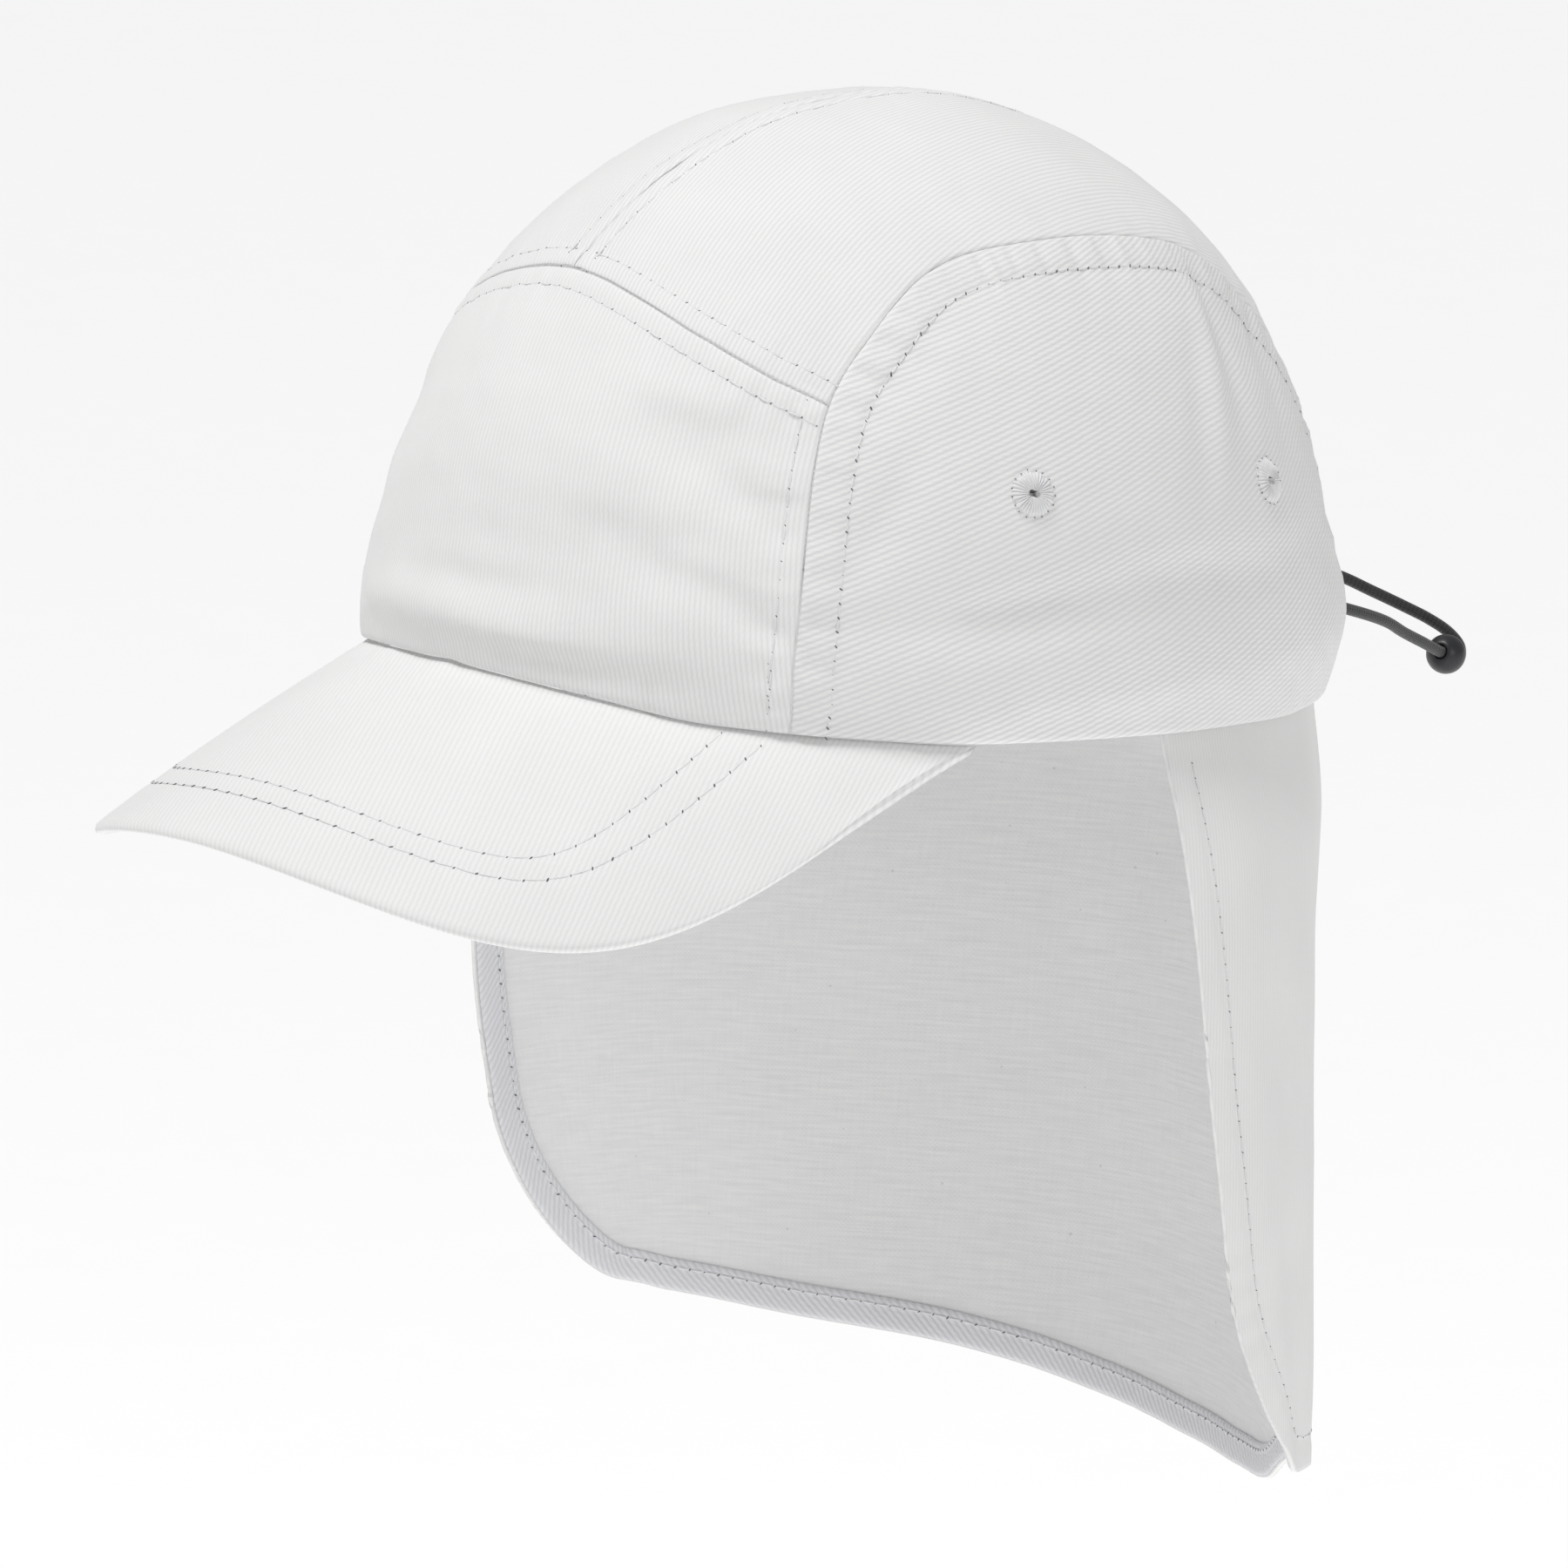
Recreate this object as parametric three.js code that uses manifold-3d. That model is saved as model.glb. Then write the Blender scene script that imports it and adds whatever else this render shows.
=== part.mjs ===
// Legionnaire cap in cotton twill: a five-panel crown, a curved brim, a neck flap
// with a twill facing, four stitched eyelets and an elastic cord with a ball.
// Millimetres. +Z is up, the brim points to -Y, the wearer's left is +X.
// The origin is the middle of the head opening at the mean height of the rim.

import * as THREE from 'three';
import { mergeVertices } from 'three/addons/utils/BufferGeometryUtils.js';
import Module from 'manifold-3d';

// crown
const headHalfWidth = 85.0;
const headFront = 98.0;
const headBack = 98.8;
const crownTop = 111.0;
const widestHeight = 8.8;
const sideRoundness = 0.953;
const frontRoundness = 0.90;
const backRoundness = 0.976;
const topShift = 1.9;
const rimTuck = 0.012;
const crownWall = 1.4;

// brim
const brimLength = 58.5;
const brimHalfWidth = 80.6;
const brimThickness = 3.0;
const brimEdgeThickness = 1.5;
const brimSlope = 25.0;
const brimBendRadius = 100.8;
const brimCentreRise = 13.9;
const brimEndTurn = 70.5;
const brimEndSweep = 86.0;
const brimCornerSide = 2.07;
const brimCornerFront = 4.6;

// neck flap and its facing
const flapLength = 150.0;
const flapWall = 1.2;
const flapTuck = 5.0;
const flapEdgeTurn = 96.2;
const flapCornerShare = 0.19;
const flapCornerRise = 37.0;
const facingWidth = 6.5;
const facingWall = 0.8;
const facingTopDrop = 3.0;

// eyelets
const eyeletRadius = 4.5;
const eyeletHeight = 0.8;
const eyeletBore = 0.9;
const eyeletBarrel = 1.8;

// elastic cord and ball
const cordDiameter = 2.3;
const ballDiameter = 7.9;

// clearances between neighbours
const seamGap = 0.4;
const seatGap = 0.3;
const tuckGap = 0.8;
const facingGap = 0.75;
const cordGap = 0.45;

const RAD = Math.PI / 180;

// Rim: height of the lower edge round the head, as a share of the crown's height.
const rimRows = [
  { turn: 0, height: 0.121 },
  { turn: 12, height: 0.111 },
  { turn: 25, height: 0.092 },
  { turn: 36, height: 0.066 },
  { turn: 48, height: 0.047 },
  { turn: 60, height: 0.029 },
  { turn: 72, height: 0.011 },
  { turn: 84, height: 0.001 },
  { turn: 96, height: -0.013 },
  { turn: 110, height: -0.030 },
  { turn: 124, height: -0.048 },
  { turn: 140, height: -0.061 },
  { turn: 160, height: -0.070 },
  { turn: 180, height: -0.072 },
];

// Side seam from the front of the rim, over the ear and down to the back of the rim.
const sideSeamRows = [
  { turn: 48.7, lift: 3.8 },
  { turn: 49.4, lift: 11.2 },
  { turn: 50.8, lift: 26.1 },
  { turn: 52.4, lift: 33.2 },
  { turn: 54.8, lift: 37.5 },
  { turn: 58.5, lift: 41.7 },
  { turn: 62.9, lift: 45.9 },
  { turn: 68.2, lift: 49.4 },
  { turn: 75.0, lift: 51.6 },
  { turn: 88.0, lift: 52.6 },
  { turn: 102.0, lift: 52.2 },
  { turn: 115.0, lift: 50.4 },
  { turn: 124.5, lift: 48.0 },
  { turn: 132.0, lift: 44.4 },
  { turn: 138.0, lift: 39.8 },
  { turn: 144.0, lift: 33.4 },
  { turn: 149.5, lift: 25.0 },
  { turn: 153.0, lift: 15.5 },
  { turn: 155.0, lift: 6.0 },
];
const sideSeamFrontTurn = 48.3;
const sideSeamBackTurn = 156.2;
const sideSeamCrossRow = 3;
const sidePanelFrontRow = 6;
const sidePanelBackRow = 13;

// Cloth cells along the side seam, shared by the panels on its two sides.
const seamCells = { rise: 10, corner: 4, over: 18, fall: 14 };

// Seam between the front panel and the top, from the centre to the side seam.
const crossSeamRows = [
  { turn: 0, lift: 48.2 },
  { turn: 10, lift: 47.4 },
  { turn: 17, lift: 46.0 },
  { turn: 25, lift: 43.8 },
  { turn: 32, lift: 41.4 },
  { turn: 43.4, lift: 36.9 },
];

// Soft rolls and dents of the crown. Depth is a share of the wall, height and
// rise are shares of the crown's height, spread is in degrees round the head.
const crownFolds = [
  { name: 'roll above the brim', turn: 8, height: 0.20, spread: 34, rise: 0.060, depth: 0.75 },
  { name: 'dip above the roll', turn: 14, height: 0.34, spread: 26, rise: 0.070, depth: -0.90 },
  { name: 'dent by the front corner', turn: 39, height: 0.53, spread: 9, rise: 0.050, depth: -1.00 },
  { name: 'lower dent by the side seam', turn: 44, height: 0.40, spread: 7, rise: 0.060, depth: -0.80 },
  { name: 'side fold over the rim', turn: 84, height: 0.22, spread: 26, rise: 0.050, depth: -0.90 },
  { name: 'side roll at the rim', turn: 84, height: 0.09, spread: 30, rise: 0.050, depth: 0.50 },
  { name: 'crest behind the crown', turn: 114, height: 0.70, spread: 7, rise: 0.100, depth: 1.10 },
  { name: 'hollow behind the crest', turn: 128, height: 0.62, spread: 8, rise: 0.100, depth: -0.90 },
  { name: 'back of the crest', turn: 141, height: 0.77, spread: 15, rise: 0.110, depth: 1.00 },
  { name: 'flat back quarter', turn: 148, height: 0.42, spread: 26, rise: 0.190, depth: -1.10 },
  { name: 'front right bulge', turn: -28, height: 0.12, spread: 18, rise: 0.120, depth: 0.80 },
  { name: 'cord casing', turn: 180, height: 0.08, spread: 52, rise: 0.085, depth: 1.70 },
  { name: 'gather over the casing', turn: 180, height: 0.24, spread: 50, rise: 0.045, depth: -0.90 },
  { name: 'right side fold', turn: -82, height: 0.24, spread: 24, rise: 0.055, depth: -0.90 },
  { name: 'right front dent', turn: -36, height: 0.46, spread: 12, rise: 0.060, depth: -0.80 },
];

// Plan of the flap level by level. Drop is a share of the flap's length, reach of
// the head's half width, the edges of the head's front and the back of its back.
const flapRows = [
  { drop: 0.20, reach: 1.100, leftEdge: 0.078, rightEdge: -0.082, back: 0.950, flatness: 0.08 },
  { drop: 0.40, reach: 1.176, leftEdge: 0.066, rightEdge: -0.164, back: 0.900, flatness: 0.10 },
  { drop: 0.67, reach: 1.224, leftEdge: 0.085, rightEdge: -0.100, back: 0.850, flatness: 0.11 },
  { drop: 0.83, reach: 1.229, leftEdge: 0.128, rightEdge: -0.041, back: 0.826, flatness: 0.13 },
  { drop: 1.00, reach: 1.224, leftEdge: 0.173, rightEdge: 0.031, back: 0.784, flatness: 0.16 },
  { drop: 1.20, reach: 1.200, leftEdge: 0.224, rightEdge: 0.092, back: 0.735, flatness: 0.18 },
];

// Hem of the flap: how far it hangs at each share of the way from the back
// centre to the front edge, as shares of the flap's length.
const hemRows = [
  { share: 0.0, left: 1.067, right: 1.067 },
  { share: 0.1, left: 1.075, right: 1.054 },
  { share: 0.2, left: 1.076, right: 1.034 },
  { share: 0.3, left: 1.070, right: 1.016 },
  { share: 0.4, left: 1.052, right: 1.004 },
  { share: 0.5, left: 1.018, right: 0.994 },
  { share: 0.6, left: 0.988, right: 0.984 },
  { share: 0.7, left: 0.976, right: 0.975 },
  { share: 0.8, left: 0.968, right: 0.960 },
  { share: 1.0, left: 0.958, right: 0.940 },
];

// Eyelets of one side panel.
const eyeletRows = [
  { name: 'front', turn: 78.6, lift: 22.2 },
  { name: 'back', turn: 118.6, lift: 18.5 },
];

// Run of the elastic cord: out of the left hole, through the ball, round its
// far side and back into the right hole.
const cordPoints = [
  [20.5, 90.0, 4.6],
  [20.5, 97.0, 3.6],
  [18.3, 107.5, 0.3],
  [13.0, 122.6, -5.1],
  [9.2, 130.6, -9.0],
  [5.4, 139.0, -12.8],
  [2.1, 145.4, -15.7],
  [0.0, 149.2, -17.2],
  [-2.1, 153.0, -18.7],
  [-4.0, 156.2, -19.3],
  [-5.5, 157.3, -17.4],
  [-6.3, 155.2, -14.6],
  [-7.5, 151.0, -11.5],
  [-9.2, 146.4, -8.8],
  [-12.0, 140.0, -5.2],
  [-14.6, 133.0, -1.5],
  [-17.6, 121.0, 2.2],
  [-19.8, 107.0, 4.1],
  [-20.5, 97.0, 4.5],
  [-20.5, 90.0, 4.6],
];
const ballOnCord = 7;

const vec = (x, y, z) => new THREE.Vector3(x, y, z);

// Value of a column at a given key, by a monotone cubic through the rows.
function tableColumn(rows, key, column) {
  const xs = rows.map((row) => row[key]);
  const ys = rows.map((row) => row[column]);
  return monotone(xs, ys);
}

function monotone(xs, ys) {
  const n = xs.length;
  const slopes = [];
  for (let i = 0; i < n - 1; i++) {
    slopes.push((ys[i + 1] - ys[i]) / (xs[i + 1] - xs[i]));
  }
  const tangents = [slopes[0]];
  for (let i = 1; i < n - 1; i++) {
    const product = slopes[i - 1] * slopes[i];
    tangents.push(product <= 0 ? 0 : (2 * product) / (slopes[i - 1] + slopes[i]));
  }
  tangents.push(slopes[n - 2]);
  return (x) => {
    let i = 0;
    while (i < n - 2 && x > xs[i + 1]) {
      i += 1;
    }
    const h = xs[i + 1] - xs[i];
    const t = (x - xs[i]) / h;
    if (t < 0) {
      return ys[0] + tangents[0] * (x - xs[0]);
    }
    if (t > 1) {
      return ys[n - 1] + tangents[n - 1] * (x - xs[n - 1]);
    }
    const t2 = t * t;
    const t3 = t2 * t;
    return (2 * t3 - 3 * t2 + 1) * ys[i] + (t3 - 2 * t2 + t) * h * tangents[i]
      + (3 * t2 - 2 * t3) * ys[i + 1] + (t3 - t2) * h * tangents[i + 1];
  };
}

const rimShare = tableColumn(rimRows, 'turn', 'height');
const rimHeight = (turn) => crownTop * rimShare(Math.abs(turn));

// Lift angle on the crown for a height.
function liftAtHeight(height) {
  if (height <= widestHeight) {
    return (height / widestHeight - 1) / RAD;
  }
  return Math.asin(Math.min(1, (height - widestHeight) / (crownTop - widestHeight))) / RAD;
}

const rimLift = (turn) => liftAtHeight(rimHeight(turn));

// Outer surface of the smooth crown: turn from the front towards the left, lift
// from the widest ring to the top.
function smoothCrown(turn, lift) {
  const round = Math.max(1e-9, Math.cos(Math.max(0, lift) * RAD));
  const low = Math.max(0, -lift * RAD);
  const height = lift > 0
    ? widestHeight + (crownTop - widestHeight) * Math.sin(lift * RAD)
    : widestHeight * (1 + lift * RAD);
  const cos = Math.cos(turn * RAD);
  const half = headHalfWidth * round ** sideRoundness * (1 - 0.5 * rimTuck * low * low);
  const reach = cos > 0
    ? headFront * round ** frontRoundness
    : headBack * round ** backRoundness * (1 - rimTuck * low * low);
  return vec(half * Math.sin(turn * RAD), -reach * cos + topShift * (1 - round), height);
}

function foldDepth(turn, height) {
  let depth = 0;
  for (const fold of crownFolds) {
    let away = Math.abs(turn - fold.turn) % 360;
    away = Math.min(away, 360 - away) / fold.spread;
    const up = (height / crownTop - fold.height) / fold.rise;
    depth += crownWall * fold.depth * Math.exp(-away * away - up * up);
  }
  return depth;
}

// The crown as a chart: (a, b) is the plan of the dome, the top at (0, 0).
const chart = (turn, lift) => {
  const q = 1 - lift / 90;
  return [q * Math.sin(turn * RAD), -q * Math.cos(turn * RAD)];
};

function chartAngles(a, b) {
  const q = Math.hypot(a, b);
  return [q < 1e-9 ? 0 : Math.atan2(a, -b) / RAD, 90 * (1 - q)];
}

function crownPoint(a, b) {
  const [turn, lift] = chartAngles(a, b);
  const point = smoothCrown(turn, lift);
  const outward = vec(point.x / headHalfWidth, point.y / headFront, 0);
  if (outward.length() > 1e-6) {
    point.addScaledVector(outward, foldDepth(turn, point.z));
  }
  return point;
}

// Unit normal of any surface given as a function of two numbers.
function surfaceNormal(surface, a, b, step) {
  const du = surface(a + step, b).sub(surface(a - step, b));
  const dv = surface(a, b + step).sub(surface(a, b - step));
  return du.cross(dv).normalize();
}

// Outward normal of the crown.
function crownNormal(a, b) {
  const normal = surfaceNormal(crownPoint, a, b, 2e-3);
  const [turn, lift] = chartAngles(a, b);
  const out = vec(Math.sin(turn * RAD), -Math.cos(turn * RAD), 0.2 + Math.max(0, lift) / 45);
  return normal.dot(out) < 0 ? normal.negate() : normal;
}

// Smooth curve through points of a chart, run at even speed.
function chartCurve(points) {
  const curve = new THREE.CatmullRomCurve3(points.map(([a, b]) => vec(a, b, 0)), false, 'centripetal');
  curve.arcLengthDivisions = 400;
  return (t) => {
    const p = curve.getPointAt(Math.min(1, Math.max(0, t)));
    return [p.x, p.y];
  };
}

// Moves a chart curve sideways by a distance measured on the surface.
function shiftCurve(surface, curve, distance, side) {
  return (t) => {
    const [a, b] = curve(t);
    const p = curve(Math.max(0, t - 0.01));
    const q = curve(Math.min(1, t + 0.01));
    const along = [q[0] - p[0], q[1] - p[1]];
    const step = 1e-3;
    const da = surface(a + step, b).sub(surface(a - step, b)).divideScalar(2 * step);
    const db = surface(a, b + step).sub(surface(a, b - step)).divideScalar(2 * step);
    const g11 = da.dot(da);
    const g12 = da.dot(db);
    const g22 = db.dot(db);
    const det = g11 * g22 - g12 * g12;
    const n = [-along[1] * side, along[0] * side];
    const d = [(g22 * n[0] - g12 * n[1]) / det, (g11 * n[1] - g12 * n[0]) / det];
    const size = Math.sqrt(n[0] * d[0] + n[1] * d[1]);
    return [a + (d[0] * distance) / size, b + (d[1] * distance) / size];
  };
}

// Fills the space between four chart curves: bottom and top run along u, left
// and right along v.
function coons(bottom, top, left, right) {
  return (u, v) => {
    const c = bottom(u);
    const d = top(u);
    const e = left(v);
    const f = right(v);
    const p00 = bottom(0);
    const p10 = bottom(1);
    const p01 = top(0);
    const p11 = top(1);
    return [0, 1].map((k) => (1 - v) * c[k] + v * d[k] + (1 - u) * e[k] + u * f[k]
      - (1 - u) * (1 - v) * p00[k] - u * (1 - v) * p10[k] - (1 - u) * v * p01[k] - u * v * p11[k]);
  };
}

// Turns a soup of faces into one closed, outward-facing body.
function closeBody(geometry) {
  geometry.deleteAttribute('normal');
  geometry.deleteAttribute('uv');
  const body = mergeVertices(geometry, 1e-4);
  const position = body.attributes.position;
  const index = body.index.array;
  const kept = [];
  let volume = 0;
  for (let i = 0; i < index.length; i += 3) {
    const [i0, i1, i2] = [index[i], index[i + 1], index[i + 2]];
    if (i0 === i1 || i1 === i2 || i0 === i2) {
      continue;
    }
    const p = vec().fromBufferAttribute(position, i0);
    const q = vec().fromBufferAttribute(position, i1);
    const r = vec().fromBufferAttribute(position, i2);
    volume += p.dot(q.cross(r));
    kept.push(i0, i1, i2);
  }
  if (volume < 0) {
    for (let i = 0; i < kept.length; i += 3) {
      [kept[i + 1], kept[i + 2]] = [kept[i + 2], kept[i + 1]];
    }
  }
  body.setIndex(kept);
  return body;
}

// A thin wall: place(u, v, face) gives the outer (face 1) or inner (face 0) point.
function wallGeometry(across, along, place) {
  const box = new THREE.BoxGeometry(1, 1, 1, across, along, 1);
  const position = box.attributes.position;
  for (let i = 0; i < position.count; i++) {
    const face = position.getZ(i) > 0 ? 1 : 0;
    const p = place(position.getX(i) + 0.5, position.getY(i) + 0.5, face);
    position.setXYZ(i, p.x, p.y, p.z);
  }
  return closeBody(box);
}

function crownPanel(across, along, patch) {
  return wallGeometry(across, along, (u, v, face) => {
    const [a, b] = patch(u, v);
    const point = crownPoint(a, b);
    return face === 1 ? point : point.addScaledVector(crownNormal(a, b), -crownWall);
  });
}

// Seams of the crown in the chart, for the left side and mirrored for the right.
const mirrored = (points, side) => points.map(([a, b]) => [a * side, b]);
const seamPoints = [
  chart(sideSeamFrontTurn, rimLift(sideSeamFrontTurn)),
  ...sideSeamRows.map((row) => chart(row.turn, row.lift)),
  chart(sideSeamBackTurn, rimLift(sideSeamBackTurn)),
];
const crossPoint = seamPoints[sideSeamCrossRow + 1];
const crossPoints = [...crossSeamRows.map((row) => chart(row.turn, row.lift)), crossPoint];

function rimPoints(from, to, count) {
  const points = [];
  for (let i = 0; i <= count; i++) {
    const turn = from + ((to - from) * i) / count;
    points.push(chart(turn, rimLift(turn)));
  }
  return points;
}

const half = seamGap / 2;
const shifted = (points, side) => shiftCurve(crownPoint, chartCurve(points), half, side);

// A stretch of the side seam between two of its stations, shifted to one side.
// The stations are the same for every panel, so that neighbours keep their gap.
const seamSpans = [
  { from: 0, to: sideSeamCrossRow + 1, cells: seamCells.rise },
  { from: sideSeamCrossRow + 1, to: sidePanelFrontRow + 1, cells: seamCells.corner },
  { from: sidePanelFrontRow + 1, to: sidePanelBackRow + 1, cells: seamCells.over },
  { from: sidePanelBackRow + 1, to: seamPoints.length - 1, cells: seamCells.fall },
];
const wholeSeam = new THREE.CatmullRomCurve3(seamPoints.map(([a, b]) => vec(a, b, 0)), false, 'centripetal');

function seamStretch(first, last, side, inset, reverse) {
  const spans = seamSpans.slice(first, last + 1);
  const cells = spans.reduce((sum, span) => sum + span.cells, 0);
  const at = (t) => {
    let cell = (reverse ? 1 - t : t) * cells;
    let span = spans[0];
    for (span of spans) {
      if (cell <= span.cells || span === spans[spans.length - 1]) {
        break;
      }
      cell -= span.cells;
    }
    const row = span.from + ((span.to - span.from) * cell) / span.cells;
    const p = wholeSeam.getPoint(Math.min(1, Math.max(0, row / (seamPoints.length - 1))));
    return [p.x * side, p.y];
  };
  return shiftCurve(crownPoint, at, half, inset);
}

// Front panel: right side seam, rim, left side seam, cross seam.
function frontPanel() {
  const bottom = chartCurve(rimPoints(-sideSeamFrontTurn, sideSeamFrontTurn, 16));
  const topPoints = [...mirrored(crossPoints, -1).reverse(), ...crossPoints.slice(1)];
  const top = shifted(topPoints, -1);
  const left = seamStretch(0, 0, -1, -1, false);
  const right = seamStretch(0, 0, 1, 1, false);
  return crownPanel(20, seamCells.rise, fitted(bottom, top, left, right));
}

// Trims four curves so that their ends meet, keeping the inset of each.
function fitted(bottom, top, left, right) {
  const corner = (p, q) => [(p[0] + q[0]) / 2, (p[1] + q[1]) / 2];
  const c00 = corner(bottom(0), left(0));
  const c10 = corner(bottom(1), right(0));
  const c01 = corner(top(0), left(1));
  const c11 = corner(top(1), right(1));
  const pull = (curve, start, end) => {
    const a = curve(0);
    const b = curve(1);
    return (t) => {
      const p = curve(t);
      const s = Math.max(0, 1 - t * 8);
      const e = Math.max(0, 1 - (1 - t) * 8);
      return [0, 1].map((k) => p[k] + s * (start[k] - a[k]) + e * (end[k] - b[k]));
    };
  };
  return coons(pull(bottom, c00, c10), pull(top, c01, c11), pull(left, c00, c01), pull(right, c10, c11));
}

// One half of the top: front on the cross seam, back on the rim. Its rows run
// straight across from the side seam to the centre seam.
function topPanel(side) {
  const backTurn = 180;
  const outside = seamStretch(1, 3, side, side, false);
  const centreFront = chart(0, crossSeamRows[0].lift)[1];
  const centreBack = chart(backTurn, rimLift(backTurn))[1];
  const outsideFront = outside(0)[1];
  const outsideBack = outside(1)[1];
  const centre = (t) => {
    const share = (outside(t)[1] - outsideFront) / (outsideBack - outsideFront);
    return [0, centreFront + share * (centreBack - centreFront)];
  };
  const inner = shiftCurve(crownPoint, centre, half, -side);
  const front = shifted(mirrored(crossPoints, side), side);
  const back = chartCurve(mirrored(rimPoints(backTurn, sideSeamBackTurn, 5), side));
  const cells = seamCells.corner + seamCells.over + seamCells.fall;
  return crownPanel(cells, 8, fitted(inner, outside, front, back));
}

// Side panel: front and back of the arch are the ends, the rim is the bottom.
function sidePanel(side) {
  const bottom = chartCurve(mirrored(rimPoints(sideSeamFrontTurn, sideSeamBackTurn, 18), side));
  const top = seamStretch(2, 2, side, -side, false);
  const left = seamStretch(0, 1, side, -side, false);
  const right = seamStretch(3, 3, side, side, true);
  return crownPanel(seamCells.over, seamCells.fall, fitted(bottom, top, left, right));
}

// Brim: a bent board between the rim and its outer edge.
const brimHeight = (x, y) => brimCentreRise + Math.tan(brimSlope * RAD) * (y + headFront)
  - (brimBendRadius - Math.sqrt(Math.max(1, brimBendRadius ** 2 - x * x)));

function rimPlace(turn, inset) {
  const [a, b] = chart(turn, rimLift(turn));
  const point = crownPoint(a, b);
  const normal = crownNormal(a, b);
  normal.z = 0;
  return point.addScaledVector(normal.normalize(), -inset);
}

const power = (value, exponent) => Math.sign(value) * Math.abs(value) ** exponent;

function brimTop(u, v) {
  const turn = (2 * u - 1) * brimEndTurn;
  const inner = rimPlace(turn, crownWall);
  const end = rimPlace(brimEndTurn, crownWall);
  const sweep = (2 * u - 1) * brimEndSweep * RAD;
  const x = brimHalfWidth * power(Math.sin(sweep), 2 / brimCornerSide);
  const y = end.y - (headFront + brimLength + end.y) * power(Math.cos(sweep), 2 / brimCornerFront);
  const outer = vec(x, y, 0);
  const point = inner.clone().lerp(outer, v);
  const seat = inner.z - seatGap - brimHeight(inner.x, inner.y);
  point.z = brimHeight(point.x, point.y) + seat * (1 - v) ** 2;
  return point;
}

function brimGeometry() {
  const rows = [0, 0.16, 0.34, 0.52, 0.70, 0.85, 0.96, 1];
  return wallGeometry(30, rows.length - 1, (u, v, face) => {
    const w = rows[Math.round(v * (rows.length - 1))];
    const near = Math.min(Math.max(u, 0.004), 0.996);
    const inside = Math.min(Math.max(w, 0.004), 0.996);
    const normal = surfaceNormal(brimTop, near, inside, 3e-3);
    if (normal.z < 0) {
      normal.negate();
    }
    const thin = w > 0.99 ? (brimThickness - brimEdgeThickness) / 2 : 0;
    const point = brimTop(u, w);
    return point.addScaledVector(normal, face === 1 ? -thin : thin - brimThickness);
  });
}

// Flap: middle of its cloth at share s (-1 right edge, 0 back, 1 left edge) and
// drop below the origin's level. Above the rim it lies inside the crown.
const hemLeft = tableColumn(hemRows, 'share', 'left');
const hemRight = tableColumn(hemRows, 'share', 'right');
const flapInset = crownWall + tuckGap + flapWall / 2;
const flapTurn = (s) => Math.sign(s || 1) * (180 - (180 - flapEdgeTurn) * Math.abs(s));

function flapLevel(row, s) {
  const angle = Math.abs(s) * 90 * RAD;
  const edge = headFront * (s > 0 ? row.leftEdge : row.rightEdge);
  const back = headBack * row.back;
  const round = Math.cos(angle) - row.flatness * Math.sin(2 * angle) ** 2;
  return [headHalfWidth * row.reach * Math.sign(s) * Math.sin(angle), edge + (back - edge) * round];
}

function flapPoint(s, drop) {
  const bound = Math.max(-1, Math.min(1, s));
  const turn = flapTurn(bound);
  const start = -rimHeight(turn);
  const inside = (height) => {
    const [a, b] = chart(turn, liftAtHeight(height));
    return crownPoint(a, b).addScaledVector(crownNormal(a, b), -flapInset);
  };
  if (drop <= start) {
    return inside(-drop);
  }
  const top = inside(-start);
  const settle = Math.max(0, 1 - (drop - start) / (0.1 * flapLength));
  const levels = flapRows.map((row) => flapLevel(row, bound));
  const drops = [start, ...flapRows.map((row) => row.drop * flapLength)];
  const x = monotone(drops, [top.x, ...levels.map((level) => level[0])])(drop);
  const y = monotone(drops, [top.y, ...levels.map((level) => level[1])])(drop);
  return vec(x, y, -drop + (top.z + start) * settle);
}

// Normal of the flap, away from the neck.
function flapNormal(s, drop) {
  const inside = Math.max(-0.99, Math.min(0.99, s));
  const du = flapPoint(inside + 0.008, drop).sub(flapPoint(inside - 0.008, drop));
  const dv = flapPoint(inside, drop + 1.5).sub(flapPoint(inside, drop - 1.5));
  const normal = du.cross(dv).normalize();
  const out = flapPoint(inside, drop);
  out.z = 0;
  return normal.dot(out) < 0 ? normal.negate() : normal;
}

// Depth of the hem, with the rounded corners at the front edges.
function hemDrop(s) {
  const share = Math.abs(s);
  const base = flapLength * (s > 0 ? hemLeft(share) : hemRight(share));
  const into = Math.max(0, (share - 1 + flapCornerShare) / flapCornerShare);
  return base - flapCornerRise * (1 - Math.sqrt(Math.max(0, 1 - into * into)));
}

function flapGeometry() {
  const tuckRows = 2;
  const rows = 13;
  return wallGeometry(30, rows, (u, v, face) => {
    const s = Math.sin((2 * u - 1) * 90 * RAD);
    const start = -rimHeight(flapTurn(s));
    const k = Math.round(v * rows);
    const drop = k <= tuckRows
      ? start - flapTuck * (1 - k / tuckRows)
      : start + (hemDrop(s) - start) * ((k - tuckRows) / (rows - tuckRows));
    const normal = flapNormal(s, drop);
    return flapPoint(s, drop).addScaledVector(normal, face === 1 ? flapWall / 2 : -flapWall / 2);
  });
}

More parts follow.
